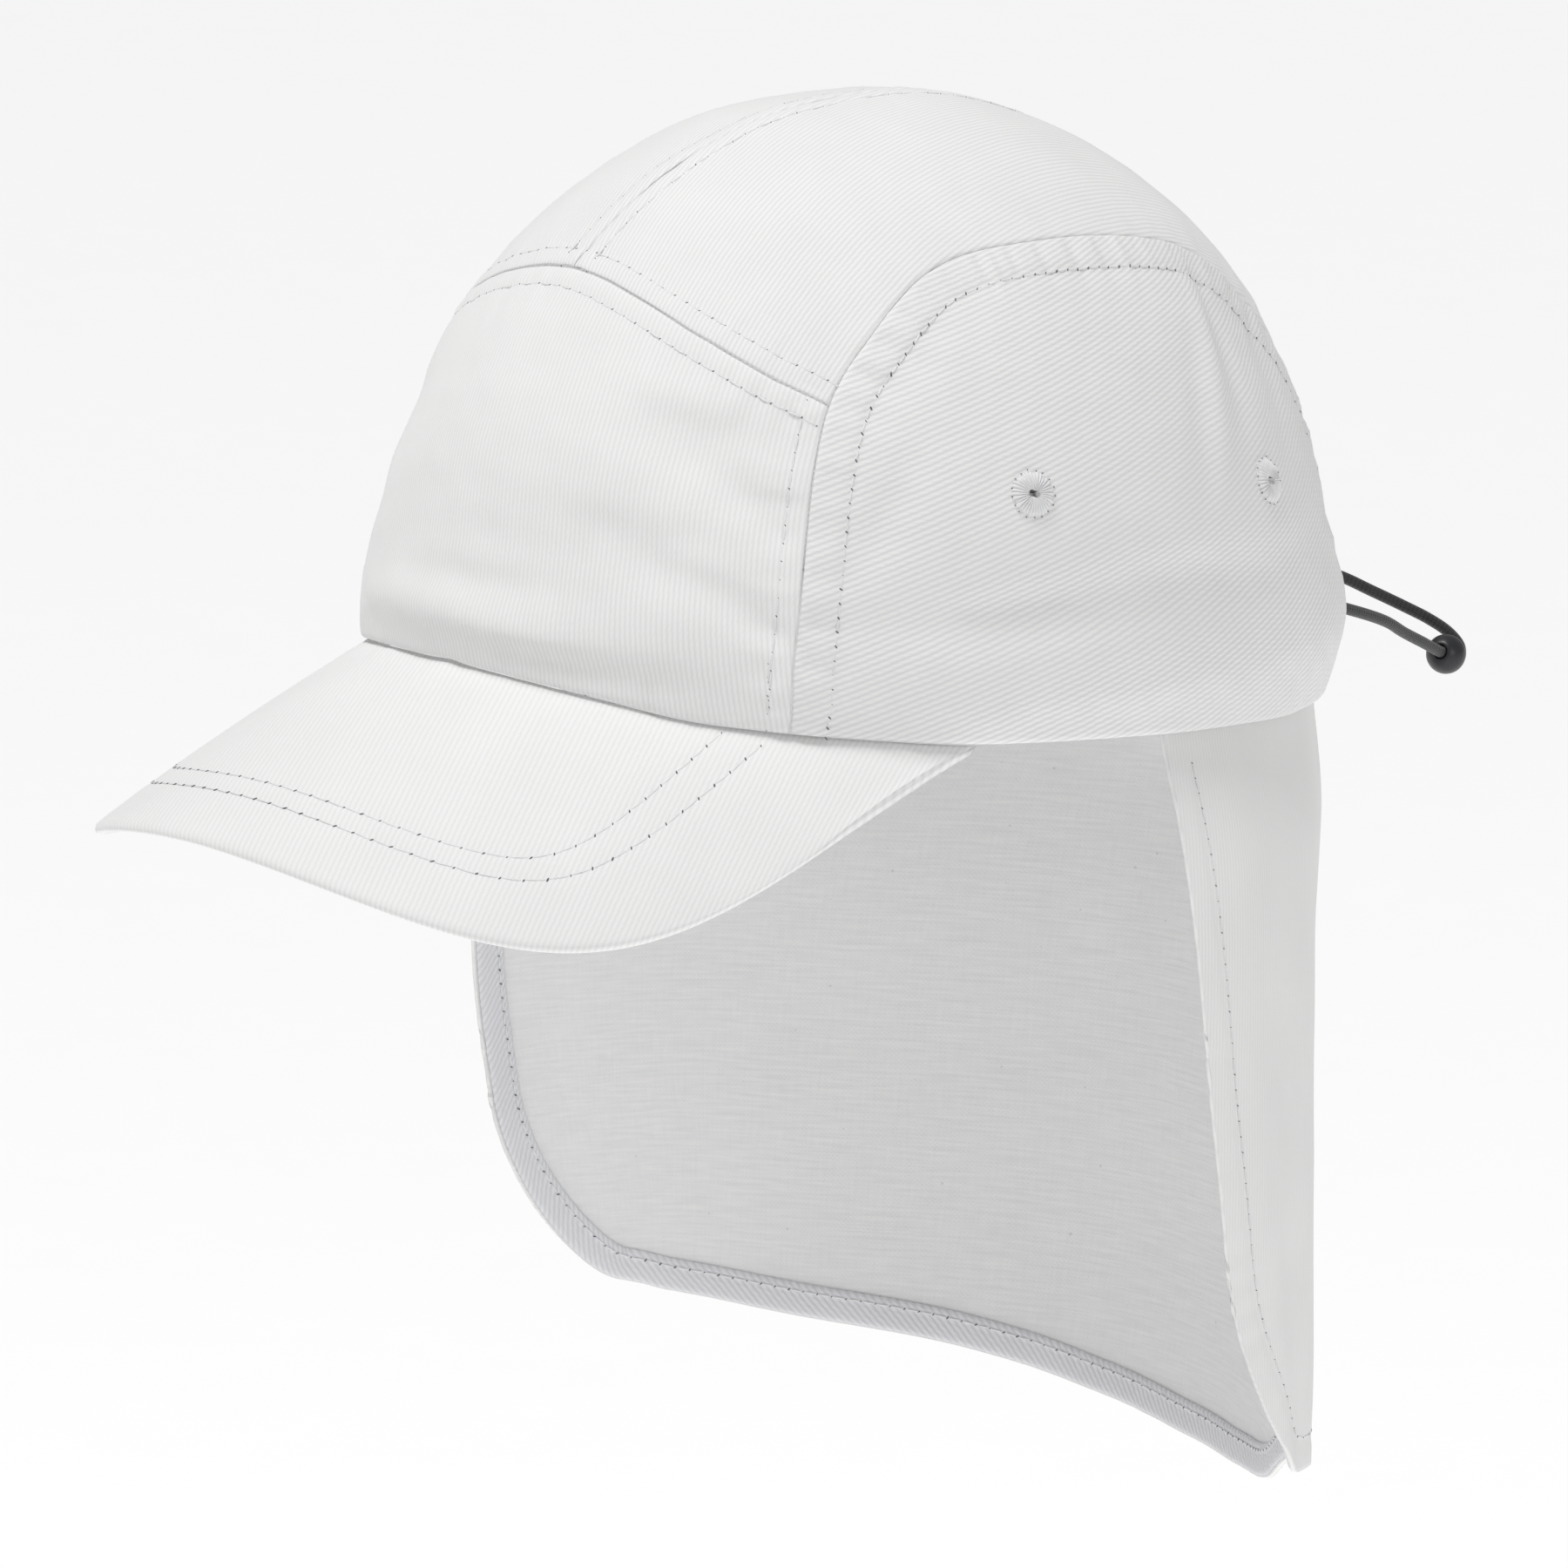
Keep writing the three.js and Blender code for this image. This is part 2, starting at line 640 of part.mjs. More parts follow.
// The facing follows the free edge of the flap on its inner side.
function facingGeometry() {
  const edge = [];
  const top = facingTopDrop - rimHeight(flapEdgeTurn);
  const bottomLeft = hemDrop(1);
  for (let i = 0; i < 12; i++) {
    edge.push([1, top + ((bottomLeft - top) * i) / 12]);
  }
  for (let i = 0; i <= 60; i++) {
    const s = Math.cos((i * 180 * RAD) / 60);
    edge.push([s, hemDrop(s)]);
  }
  const bottomRight = hemDrop(-1);
  for (let i = 1; i <= 12; i++) {
    edge.push([-1, bottomRight + ((top - bottomRight) * i) / 12]);
  }
  const lengths = [0];
  for (let i = 1; i < edge.length; i++) {
    lengths.push(lengths[i - 1] + flapPoint(...edge[i]).distanceTo(flapPoint(...edge[i - 1])));
  }
  const total = lengths[lengths.length - 1];
  const path = (t) => {
    const want = Math.min(1, Math.max(0, t)) * total;
    let i = 1;
    while (i < edge.length - 1 && lengths[i] < want) {
      i += 1;
    }
    const w = (want - lengths[i - 1]) / (lengths[i] - lengths[i - 1]);
    return [0, 1].map((k) => edge[i - 1][k] + (edge[i][k] - edge[i - 1][k]) * w);
  };
  const depth = flapWall / 2 + facingGap;
  const steps = 66;
  const insideOf = (s) => Math.max(-0.985, Math.min(0.985, s));
  const surface = (s, drop) => flapPoint(insideOf(s), drop).add(
    flapPoint(insideOf(s) + 0.004, drop).sub(flapPoint(insideOf(s), drop)).multiplyScalar((s - insideOf(s)) / 0.004),
  );
  return wallGeometry(steps, 1, (u, v, face) => {
    const inset = v < 0.5 ? seatGap : facingWidth;
    const [s, drop] = shiftCurve(surface, path, inset, 1)(u);
    const normal = flapNormal(s, drop);
    return flapPoint(s, drop).addScaledVector(normal, -(depth + (face === 1 ? 0 : facingWall)));
  });
}

// Solid of revolution whose profile closes on itself, about +Z.
function turned(profile, sides) {
  const points = [...profile, profile[0]].map(([r, z]) => new THREE.Vector2(r, z));
  const lathe = new THREE.LatheGeometry(points, sides);
  lathe.rotateX(Math.PI / 2);
  return closeBody(lathe);
}

function eyeletGeometry() {
  return turned([
    [eyeletBore, -crownWall - seatGap],
    [eyeletBarrel, -crownWall - seatGap],
    [eyeletBarrel, seatGap],
    [eyeletRadius, seatGap],
    [eyeletRadius - 0.3, seatGap + 0.55 * eyeletHeight],
    [(eyeletRadius + eyeletBore) / 2, seatGap + eyeletHeight],
    [eyeletBore + 0.25, seatGap + 0.7 * eyeletHeight],
    [eyeletBore, seatGap + 0.3 * eyeletHeight],
  ], 12);
}

// Puts a body that stands along +Z at a point, with +Z along a direction.
function aim(object, point, direction) {
  object.position.copy(point);
  object.quaternion.setFromUnitVectors(vec(0, 0, 1), direction.clone().normalize());
  object.updateMatrixWorld(true);
  return object;
}

const wasm = await Module();
wasm.setup();

function solid(geometry) {
  return new wasm.Manifold(new wasm.Mesh({
    numProp: 3,
    vertProperties: new Float32Array(geometry.attributes.position.array),
    triVerts: new Uint32Array(geometry.index.array),
  }));
}

function fromSolid(body) {
  const mesh = body.getMesh();
  const geometry = new THREE.BufferGeometry();
  geometry.setAttribute('position', new THREE.BufferAttribute(new Float32Array(mesh.vertProperties), 3));
  geometry.setIndex(new THREE.BufferAttribute(new Uint32Array(mesh.triVerts), 1));
  return geometry;
}

// Cuts round holes through a wall; each hole has a point, a direction, a radius.
function pierce(geometry, holes) {
  let body = solid(geometry);
  for (const hole of holes) {
    const drill = new THREE.CylinderGeometry(hole.radius, hole.radius, crownWall * 8, 12);
    drill.rotateX(Math.PI / 2);
    const placed = aim(new THREE.Object3D(), hole.point, hole.direction);
    drill.applyMatrix4(placed.matrixWorld);
    body = body.subtract(solid(closeBody(drill)));
  }
  return fromSolid(body);
}

function eyeletPlace(row, side) {
  const [a, b] = chart(row.turn * side, row.lift);
  return { point: crownPoint(a, b), direction: crownNormal(a, b) };
}

const cordCurve = new THREE.CatmullRomCurve3(cordPoints.map((p) => vec(...p)), false, 'centripetal');

function cordGeometry() {
  const ring = new THREE.Shape();
  const sides = 8;
  for (let i = 0; i < sides; i++) {
    const angle = (2 * Math.PI * i) / sides;
    const x = (cordDiameter / 2) * Math.cos(angle);
    const y = (cordDiameter / 2) * Math.sin(angle);
    if (i === 0) {
      ring.moveTo(x, y);
    } else {
      ring.lineTo(x, y);
    }
  }
  ring.closePath();
  return closeBody(new THREE.ExtrudeGeometry(ring, { steps: 64, extrudePath: cordCurve, curveSegments: 1 }));
}

// Ball with a bore that clears the cord.
function ballGeometry() {
  const bore = cordDiameter / 2 + cordGap;
  const radius = ballDiameter / 2;
  const start = Math.asin(bore / radius) / RAD;
  const profile = [];
  for (let i = 0; i <= 8; i++) {
    const angle = (start + ((180 - 2 * start) * i) / 8) * RAD;
    profile.push([radius * Math.sin(angle), -radius * Math.cos(angle)]);
  }
  return turned(profile, 16);
}

// Looks of the materials.
const twillLook = { color: '#e9e9ea', roughness: 0.9, metalness: 0.0 };
const plainLook = { color: '#d9d9da', roughness: 0.92, metalness: 0.0 };
const threadLook = { color: '#ececed', roughness: 0.8, metalness: 0.0 };
const cordLook = { color: '#1d1e20', roughness: 0.7, metalness: 0.0 };
const ballLook = { color: '#222326', roughness: 0.45, metalness: 0.0 };

const cap = new THREE.Group();

function add(name, geometry, look) {
  const mesh = new THREE.Mesh(geometry, new THREE.MeshStandardMaterial(look));
  mesh.name = name;
  cap.add(mesh);
  return mesh;
}

function cordHole(side) {
  const start = side > 0 ? cordPoints[0] : cordPoints[cordPoints.length - 1];
  const next = side > 0 ? cordPoints[1] : cordPoints[cordPoints.length - 2];
  const direction = vec(...next).sub(vec(...start));
  const point = vec(...start).lerp(vec(...next), 0.7);
  return { point, direction, radius: cordDiameter / 2 + cordGap };
}

add('front_panel', frontPanel(), twillLook);
for (const [word, side] of [['left', 1], ['right', -1]]) {
  add(`top_panel_${word}`, pierce(topPanel(side), [cordHole(side)]), twillLook);
  const holes = eyeletRows.map((row) => ({ ...eyeletPlace(row, side), radius: eyeletBarrel + seatGap }));
  add(`side_panel_${word}`, pierce(sidePanel(side), holes), twillLook);
  for (const row of eyeletRows) {
    const place = eyeletPlace(row, side);
    aim(add(`eyelet_${word}_${row.name}`, eyeletGeometry(), threadLook), place.point, place.direction);
  }
}
add('brim', brimGeometry(), twillLook);
add('neck_flap', flapGeometry(), plainLook);
add('flap_facing', facingGeometry(), twillLook);
add('elastic_cord', cordGeometry(), cordLook);
const ballPoint = vec(...cordPoints[ballOnCord]);
const ballAxis = vec(...cordPoints[ballOnCord + 1]).sub(vec(...cordPoints[ballOnCord - 1]));
aim(add('cord_ball', ballGeometry(), ballLook), ballPoint, ballAxis);

export default cap;
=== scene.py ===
"""Legionnaire cap in off-white cotton twill, dressed over its packed frame.

Shapes are worked out in millimetres and put into the meshes in metres.
+Z is up, the brim points to -Y and the wearer's left is +X.
"""
import math

import bmesh
import bpy
import numpy as np
from bpy.props import FloatProperty, FloatVectorProperty, PointerProperty
from mathutils import Matrix, Vector


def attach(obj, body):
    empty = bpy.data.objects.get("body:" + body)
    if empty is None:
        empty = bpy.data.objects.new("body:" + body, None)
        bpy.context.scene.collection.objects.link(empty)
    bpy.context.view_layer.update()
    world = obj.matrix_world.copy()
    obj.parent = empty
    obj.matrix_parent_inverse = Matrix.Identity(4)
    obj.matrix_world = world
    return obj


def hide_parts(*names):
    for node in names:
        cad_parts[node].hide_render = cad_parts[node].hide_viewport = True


bl_info = {
    "name": "Legionnaire cap",
    "version": (1, 0, 0),
    "blender": (4, 5, 0),
    "location": "3D View > Sidebar > Cap",
    "description": "Builds a legionnaire cap with its cloth, stitching, eyelets and cord",
    "category": "Object",
}

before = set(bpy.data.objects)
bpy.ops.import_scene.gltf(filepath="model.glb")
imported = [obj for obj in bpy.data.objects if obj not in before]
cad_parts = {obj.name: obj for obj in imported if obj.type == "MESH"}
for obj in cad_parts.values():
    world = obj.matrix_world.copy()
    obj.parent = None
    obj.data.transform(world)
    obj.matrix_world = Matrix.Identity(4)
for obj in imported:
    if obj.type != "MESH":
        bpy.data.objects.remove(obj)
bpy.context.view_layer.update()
MM = 0.001
RAD = math.pi / 180
CLOTH_MAP = "cloth_mm"

# Crown, brim and flap sizes, in millimetres and degrees
HEAD_HALF_WIDTH = 85.0
HEAD_FRONT = 98.0
HEAD_BACK = 98.8
CROWN_TOP = 111.0
WIDEST_HEIGHT = 8.8
SIDE_ROUNDNESS = 0.953
FRONT_ROUNDNESS = 0.90
BACK_ROUNDNESS = 0.976
TOP_SHIFT = 1.9
RIM_TUCK = 0.012
CROWN_WALL = 1.4
BRIM_LENGTH = 58.5
BRIM_HALF_WIDTH = 80.6
BRIM_THICKNESS = 3.0
BRIM_SLOPE = 25.0
BRIM_BEND = 100.8
BRIM_RISE = 13.9
BRIM_END_TURN = 70.5
BRIM_END_SWEEP = 86.0
BRIM_CORNER_SIDE = 2.07
BRIM_CORNER_FRONT = 4.6
FLAP_LENGTH = 150.0
FLAP_TUCK = 5.0
FLAP_EDGE_TURN = 96.2
FLAP_CORNER_SHARE = 0.19
FLAP_CORNER_RISE = 37.0
FLAP_INSET = 2.8
FACING_TOP_DROP = 3.0
CORD_DIAMETER = 2.3
BALL_DIAMETER = 7.9
SEAM_GAP = 0.2
FLAP_NEAR_EDGE = 0.985
FLAP_CUT = (0.330, 0.172)
OUTER_ROW, INNER_ROW = 6.2, 5.1
FACING_WALL = 0.5
FLAP_WALL = 1.0
PANEL_WALL = 1.2
THREAD, BRIM_THREAD, FLAP_THREAD = 0.42, 0.40, 0.36

# Relief of the panels, in millimetres: soft unevenness as height, length and seed step,
# the share of a seam's roll, how strong its puckers are, and the step of its allowance
UNEVEN = ((0.34, 34, 0), (0.11, 9, 1))
ROLL_SHARE = 0.62
PUCKER_GAIN = 1.6
ALLOWANCE_STEP = 0.32
ROW_GROOVE_WIDTH = 0.75

# Radii of the flat cut, so that threads keep their spacing on the curved cloth
RISE_RADIUS = 104.0
RING_RADIUS = 92.0
RING_TAPER = 0.93
TOP_SQUEEZE = 0.9
FLAP_HALF_CUT = 160.0

# Height of the rim round the head: turn, share of the crown's height
RIM = (
    (0, 0.121), (12, 0.111), (25, 0.092), (36, 0.066), (48, 0.047), (60, 0.029),
    (72, 0.011), (84, 0.001), (96, -0.013), (110, -0.030), (124, -0.048),
    (140, -0.061), (160, -0.070), (180, -0.072),
)
# Side seam: turn, lift
SIDE_SEAM = (
    (48.7, 3.8), (49.4, 11.2), (50.8, 26.1), (52.4, 33.2), (54.8, 37.5), (58.5, 41.7),
    (62.9, 45.9), (68.2, 49.4), (75.0, 51.6), (88.0, 52.6), (102.0, 52.2), (115.0, 50.4),
    (124.5, 48.0), (132.0, 44.4), (138.0, 39.8), (144.0, 33.4), (149.5, 25.0),
    (153.0, 15.5), (155.0, 6.0),
)
SEAM_FRONT_TURN = 48.3
SEAM_BACK_TURN = 156.2
CROSS_AT = 4
SIDE_FRONT_AT = 7
SIDE_BACK_AT = 14
# Seam over the front panel: turn, lift
CROSS_SEAM = ((0, 48.2), (10, 47.4), (17, 46.0), (25, 43.8), (32, 41.4), (43.4, 36.9))
# Broad rolls and dents: turn, height and rise as shares of the crown, spread, depth
CROWN_FOLDS = (
    (8, 0.20, 34, 0.060, 0.75), (14, 0.34, 26, 0.070, -0.90), (39, 0.53, 9, 0.050, -1.00),
    (44, 0.40, 7, 0.060, -0.80), (84, 0.22, 26, 0.050, -0.90), (84, 0.09, 30, 0.050, 0.50),
    (114, 0.70, 7, 0.100, 1.10), (128, 0.62, 8, 0.100, -0.90), (141, 0.77, 15, 0.110, 1.00),
    (148, 0.42, 26, 0.190, -1.10), (-28, 0.12, 18, 0.120, 0.80), (180, 0.08, 52, 0.085, 1.70),
    (180, 0.24, 50, 0.045, -0.90), (-82, 0.24, 24, 0.055, -0.90), (-36, 0.46, 12, 0.060, -0.80),
)
# Finer creases: turn, height, length, width, tilt in degrees, depth in millimetres
CREASES = (
    (36, 54, 19, 6.0, -28, -2.00), (44, 44, 9, 4.0, -38, -1.30), (30, 67, 16, 4.0, -8, 0.81),
    (43, 43, 8, 3.5, -18, 0.99), (34, 36, 22, 5.0, -18, -1.55), (38, 36, 15, 3.5, -16, 1.08),
    (46, 24, 9, 3.0, -35, -0.99), (10, 21, 26, 4.5, -4, 1.26), (4, 29, 24, 3.5, 2, -0.81),
    (20, 16, 22, 3.0, -6, -0.90), (114, 62, 22, 3.5, 62, 1.35), (121, 66, 18, 4.0, 66, -1.26),
    (108, 52, 15, 4.5, 70, -0.81), (134, 60, 18, 5.0, 60, -1.08), (76, 27, 26, 4.5, 3, -0.99),
    (98, 30, 22, 4.5, -6, -0.90), (88, 18, 30, 4.0, 1, 0.90), (60, 45, 14, 5.0, 55, -0.63),
    (140, 24, 10, 3.0, -20, 0.99), (146, 20, 9, 2.5, -15, -0.99), (66, 74, 14, 4.0, 40, -0.63),
    (-38, 56, 15, 5.0, 14, -0.70), (-40, 34, 20, 4.5, 12, -0.60), (-14, 22, 22, 4.5, 4, 0.99),
    (-84, 29, 28, 4.5, -3, -1.08), (-112, 60, 20, 4.0, -62, 1.08), (-120, 64, 16, 4.0, -64, -0.99),
    (-138, 26, 12, 3.5, 18, 0.90), (172, 30, 18, 4.0, 4, -0.90), (-168, 34, 18, 4.0, -6, 0.81),
)
# Plan of the flap: drop, reach, left edge, right edge, back, flatness
FLAP_ROWS = (
    (0.20, 1.100, 0.078, -0.082, 0.950, 0.08), (0.40, 1.176, 0.066, -0.164, 0.900, 0.10),
    (0.67, 1.224, 0.085, -0.100, 0.848, 0.12), (0.83, 1.229, 0.128, -0.041, 0.820, 0.145),
    (1.00, 1.224, 0.173, 0.031, 0.770, 0.185), (1.20, 1.200, 0.224, 0.092, 0.700, 0.22),
)
# Hem of the flap: share from the back centre to the edge, left, right
HEM_ROWS = (
    (0.0, 1.067, 1.067), (0.1, 1.075, 1.054), (0.2, 1.076, 1.034), (0.3, 1.070, 1.016),
    (0.4, 1.052, 1.004), (0.5, 1.014, 0.994), (0.6, 0.980, 0.984), (0.7, 0.968, 0.975),
    (0.8, 0.968, 0.960), (1.0, 0.958, 0.940),
)
# Soft hanging folds of the flap: share, width in share, lean, depth
FLAP_FOLDS = (
    (0.90, 0.050, 0.02, 0.50), (0.79, 0.055, 0.10, -1.10), (0.66, 0.060, 0.12, 1.00),
    (0.50, 0.070, 0.06, -0.80), (0.28, 0.080, 0.02, 0.90), (0.06, 0.080, -0.04, -0.90),
    (-0.18, 0.080, 0.03, 0.90), (-0.42, 0.075, -0.05, -1.00), (-0.62, 0.070, -0.08, 0.90),
    (-0.82, 0.060, -0.06, -0.70),
)
EYELETS = (("front", 78.6, 22.2), ("back", 118.6, 18.5))
# Run of the elastic cord, as in the frame
CORD_POINTS = (
    (20.5, 90.0, 4.6), (20.5, 97.0, 3.6), (18.3, 107.5, 0.3), (13.0, 122.6, -5.1),
    (9.2, 130.6, -9.0), (5.4, 139.0, -12.8), (2.1, 145.4, -15.7), (0.0, 149.2, -17.2),
    (-2.1, 153.0, -18.7), (-4.0, 156.2, -19.3), (-5.5, 157.3, -17.4), (-6.3, 155.2, -14.6),
    (-7.5, 151.0, -11.5), (-9.2, 146.4, -8.8), (-12.0, 140.0, -5.2), (-14.6, 133.0, -1.5),
    (-17.6, 121.0, 2.2), (-19.8, 107.0, 4.1), (-20.5, 97.0, 4.5), (-20.5, 90.0, 4.6),
)
BALL_ON_CORD = 7


def tangents_of(slopes):
    """Tangents that keep a cubic monotone, for slopes along the first axis."""
    before, after = slopes[:-1], slopes[1:]
    product = before * after
    total = np.where(np.abs(before + after) < 1e-12, 1.0, before + after)
    inner = np.where(product <= 0, 0.0, 2 * product / total)
    return np.concatenate([slopes[:1], inner, slopes[-1:]])


def cubic(t, h, start, end, leaving, arriving):
    """Hermite cubic at share t of a step h, from two values and two tangents."""
    t2, t3 = t * t, t * t * t
    return ((2 * t3 - 3 * t2 + 1) * start + (t3 - 2 * t2 + t) * h * leaving
            + (3 * t2 - 2 * t3) * end + (t3 - t2) * h * arriving)


def steady(rows, column):
    """Monotone cubic through one column of a table, straight beyond its ends."""
    xs = np.array([row[0] for row in rows], float)
    ys = np.array([row[column] for row in rows], float)
    tangents = tangents_of(np.diff(ys) / np.diff(xs))

    def value(x):
        x = np.asarray(x, float)
        i = np.clip(np.searchsorted(xs, x, side="left") - 1, 0, len(xs) - 2)
        h = xs[i + 1] - xs[i]
        t = (x - xs[i]) / h
        inside = cubic(t, h, ys[i], ys[i + 1], tangents[i], tangents[i + 1])
        low = ys[0] + tangents[0] * t * h
        high = ys[-1] + tangents[-1] * (t - 1) * h
        return np.where(t < 0, low, np.where(t > 1, high, inside))

    return value


rim_share = steady(RIM, 1)
hem_left = steady(HEM_ROWS, 1)
hem_right = steady(HEM_ROWS, 2)


def rim_height(turn):
    return CROWN_TOP * rim_share(np.abs(turn))


def lift_at_height(height):
    high = (height - WIDEST_HEIGHT) / (CROWN_TOP - WIDEST_HEIGHT)
    return np.where(
        height <= WIDEST_HEIGHT,
        (height / WIDEST_HEIGHT - 1) / RAD,
        np.arcsin(np.clip(high, -1, 1)) / RAD,
    )


def chart(turn, lift):
    """Plan of the dome: the top is (0, 0)."""
    q = 1 - np.asarray(lift, float) / 90
    turn = np.asarray(turn, float) * RAD
    return np.stack([q * np.sin(turn), -q * np.cos(turn)], -1)


def rim_chart(turn):
    return chart(turn, lift_at_height(rim_height(turn)))


def chart_angles(ab):
    q = np.hypot(ab[..., 0], ab[..., 1])
    return np.arctan2(ab[..., 0], -ab[..., 1]) / RAD, 90 * (1 - q)


def turn_between(turn, other):
    return (turn - other + 180) % 360 - 180


def crown(ab):
    """Outer surface of the crown with its broad folds and creases."""
    turn, lift = chart_angles(ab)
    up, low = np.maximum(0, lift) * RAD, np.maximum(0, -lift) * RAD
    level = np.maximum(1e-9, np.cos(up))
    height = np.where(
        lift > 0,
        WIDEST_HEIGHT + (CROWN_TOP - WIDEST_HEIGHT) * np.sin(up),
        WIDEST_HEIGHT * (1 - low),
    )
    ahead = np.cos(turn * RAD)
    half = HEAD_HALF_WIDTH * level ** SIDE_ROUNDNESS * (1 - 0.5 * RIM_TUCK * low * low)
    reach = np.where(
        ahead > 0,
        HEAD_FRONT * level ** FRONT_ROUNDNESS,
        HEAD_BACK * level ** BACK_ROUNDNESS * (1 - RIM_TUCK * low * low),
    )
    x = half * np.sin(turn * RAD)
    y = -reach * ahead + TOP_SHIFT * (1 - level)
    depth = np.zeros_like(x)
    for at, share, spread, rise, amount in CROWN_FOLDS:
        away = turn_between(turn, at) / spread
        above = (height / CROWN_TOP - share) / rise
        depth += CROWN_WALL * amount * np.exp(-away ** 2 - above ** 2)
    for at, level_mm, length, width, tilt, amount in CREASES:
        across = turn_between(turn, at) * 1.55 * np.clip(level * 1.25, 0, 1)
        rise = height - level_mm
        cos, sin = math.cos(tilt * RAD), math.sin(tilt * RAD)
        along = (across * cos + rise * sin) / length
        aside = (rise * cos - across * sin) / width
        depth += amount * np.exp(-along ** 2 - aside ** 2)
    out = np.stack([x / HEAD_HALF_WIDTH, y / HEAD_FRONT], -1)
    return np.stack([x + out[..., 0] * depth, y + out[..., 1] * depth, height], -1)


def normals_of(surface, ab, step):
    du, dv = np.array([step, 0.0]), np.array([0.0, step])
    n = np.cross(surface(ab + du) - surface(ab - du), surface(ab + dv) - surface(ab - dv))
    return n / np.maximum(1e-12, np.linalg.norm(n, axis=-1, keepdims=True))


def crown_normals(ab):
    n = normals_of(crown, ab, 3e-3)
    turn, lift = chart_angles(ab)
    out = np.stack([np.sin(turn * RAD), -np.cos(turn * RAD), 0.2 + np.maximum(0, lift) / 45], -1)
    return np.where((n * out).sum(-1, keepdims=True) < 0, -n, n)


def lengths_of(line):
    steps = np.linalg.norm(np.diff(line, axis=0), axis=1)
    return np.concatenate([[0.0], np.cumsum(steps)])


def spaced(line, count):
    """The line with its points spread evenly."""
    along = lengths_of(line)
    want = np.linspace(0, along[-1], count)
    return np.stack([np.interp(want, along, line[:, k]) for k in range(line.shape[1])], -1)


def smooth_line(points, steps=24):
    """Centripetal Catmull-Rom line through points."""
    p = np.asarray(points, float)
    q = np.vstack([2 * p[0] - p[1], p, 2 * p[-1] - p[-2]])
    t = np.linspace(0, 1, steps, endpoint=False)[:, None]
    parts = []
    for i in range(len(p) - 1):
        a, b, c, d = q[i:i + 4]
        d0, d1, d2 = (max(1e-9, np.sum((n - m) ** 2) ** 0.25) for m, n in ((a, b), (b, c), (c, d)))
        t1 = ((b - a) / d0 - (c - a) / (d0 + d1) + (c - b) / d1) * d1
        t2 = ((c - b) / d1 - (d - b) / (d1 + d2) + (d - c) / d2) * d1
        parts.append(b + t1 * t + (3 * (c - b) - 2 * t1 - t2) * t ** 2
                     + (2 * (b - c) + t1 + t2) * t ** 3)
    return np.vstack(parts + [p[-1:]])


def waves(points, length, seed, count=7):
    """Soft noise from a few seeded sine waves of about that length, from -1 to 1."""
    rng = np.random.default_rng(seed)
    total = np.zeros(points.shape[:-1])
    for _ in range(count):
        way = rng.normal(size=points.shape[-1])
        way *= rng.uniform(0.7, 1.4) / np.linalg.norm(way) / length
        total += np.sin(2 * math.pi * (points @ way) + rng.uniform(0, 2 * math.pi))
    return total / count * 1.6


def nearest(points, line):
    """Distance from each point to a line, and how far along the line that is."""
    along = lengths_of(line)
    distance, place = np.empty(len(points)), np.empty(len(points))
    for start in range(0, len(points), 2000):
        part = points[start:start + 2000]
        close = ((part[:, None] - line[None]) ** 2).sum(-1).argmin(1)
        best, where = np.full(len(part), 1e9), np.zeros(len(part))
        for first in (np.maximum(close - 1, 0), np.minimum(close, len(line) - 2)):
            a, b = line[first], line[first + 1]
            t = np.clip(((part - a) * (b - a)).sum(-1) / ((b - a) ** 2).sum(-1), 0, 1)
            gap = np.linalg.norm(part - a - (b - a) * t[:, None], axis=1)
            better = gap < best
            best[better] = gap[better]
            where[better] = (along[first] + t * (along[first + 1] - along[first]))[better]
        distance[start:start + 2000], place[start:start + 2000] = best, where
    return distance, place


def shifted(surface, line, distance, side):
    """A line of a chart moved sideways by a distance measured on the surface."""
    along = np.gradient(line, axis=0)
    step = 1e-3
    du, dv = np.array([step, 0.0]), np.array([0.0, step])
    da = (surface(line + du) - surface(line - du)) / (2 * step)
    db = (surface(line + dv) - surface(line - dv)) / (2 * step)
    g11, g12, g22 = (da * da).sum(-1), (da * db).sum(-1), (db * db).sum(-1)
    det = g11 * g22 - g12 * g12
    n = np.stack([-along[:, 1], along[:, 0]], -1) * side
    d = np.stack([g22 * n[:, 0] - g12 * n[:, 1], g11 * n[:, 1] - g12 * n[:, 0]], -1) / det[:, None]
    size = np.sqrt((n * d).sum(-1, keepdims=True))
    return line + d * distance / size


def edge_rows(count, length, ends=(True, True)):
    """Places of the rows of a cloth grid, closer together at its sewn edges."""
    close = np.array([0, 0.15, 0.35, 0.62, 1.0, 1.5, 2.2, 3.1]) / length
    first = close if ends[0] else np.array([0.0])
    last = 1 - close[::-1] if ends[1] else np.array([1.0])
    middle = np.linspace(first[-1], last[0], count - len(first) - len(last) + 3)[1:-1]
    return np.concatenate([first, middle, last])


def patch(bottom, top, left, right):
    """Fills four chart lines. Bottom and top run along u, left and right along v."""
    lines = [spaced(line, 400) for line in (bottom, top, left, right)]
    at = np.linspace(0, 1, 400)
    corners = [(lines[0][0] + lines[2][0]) / 2, (lines[0][-1] + lines[3][0]) / 2,
               (lines[1][0] + lines[2][-1]) / 2, (lines[1][-1] + lines[3][-1]) / 2]

    def run(line, t):
        return np.stack([np.interp(t, at, line[:, k]) for k in (0, 1)], -1)

    def place(u, v):
        c, d, e, f = run(lines[0], u), run(lines[1], u), run(lines[2], v), run(lines[3], v)
        u, v = u[:, None], v[:, None]
        return ((1 - v) * c + v * d + (1 - u) * e + u * f - (1 - u) * (1 - v) * corners[0]
                - u * (1 - v) * corners[1] - (1 - u) * v * corners[2] - u * v * corners[3])

    return place


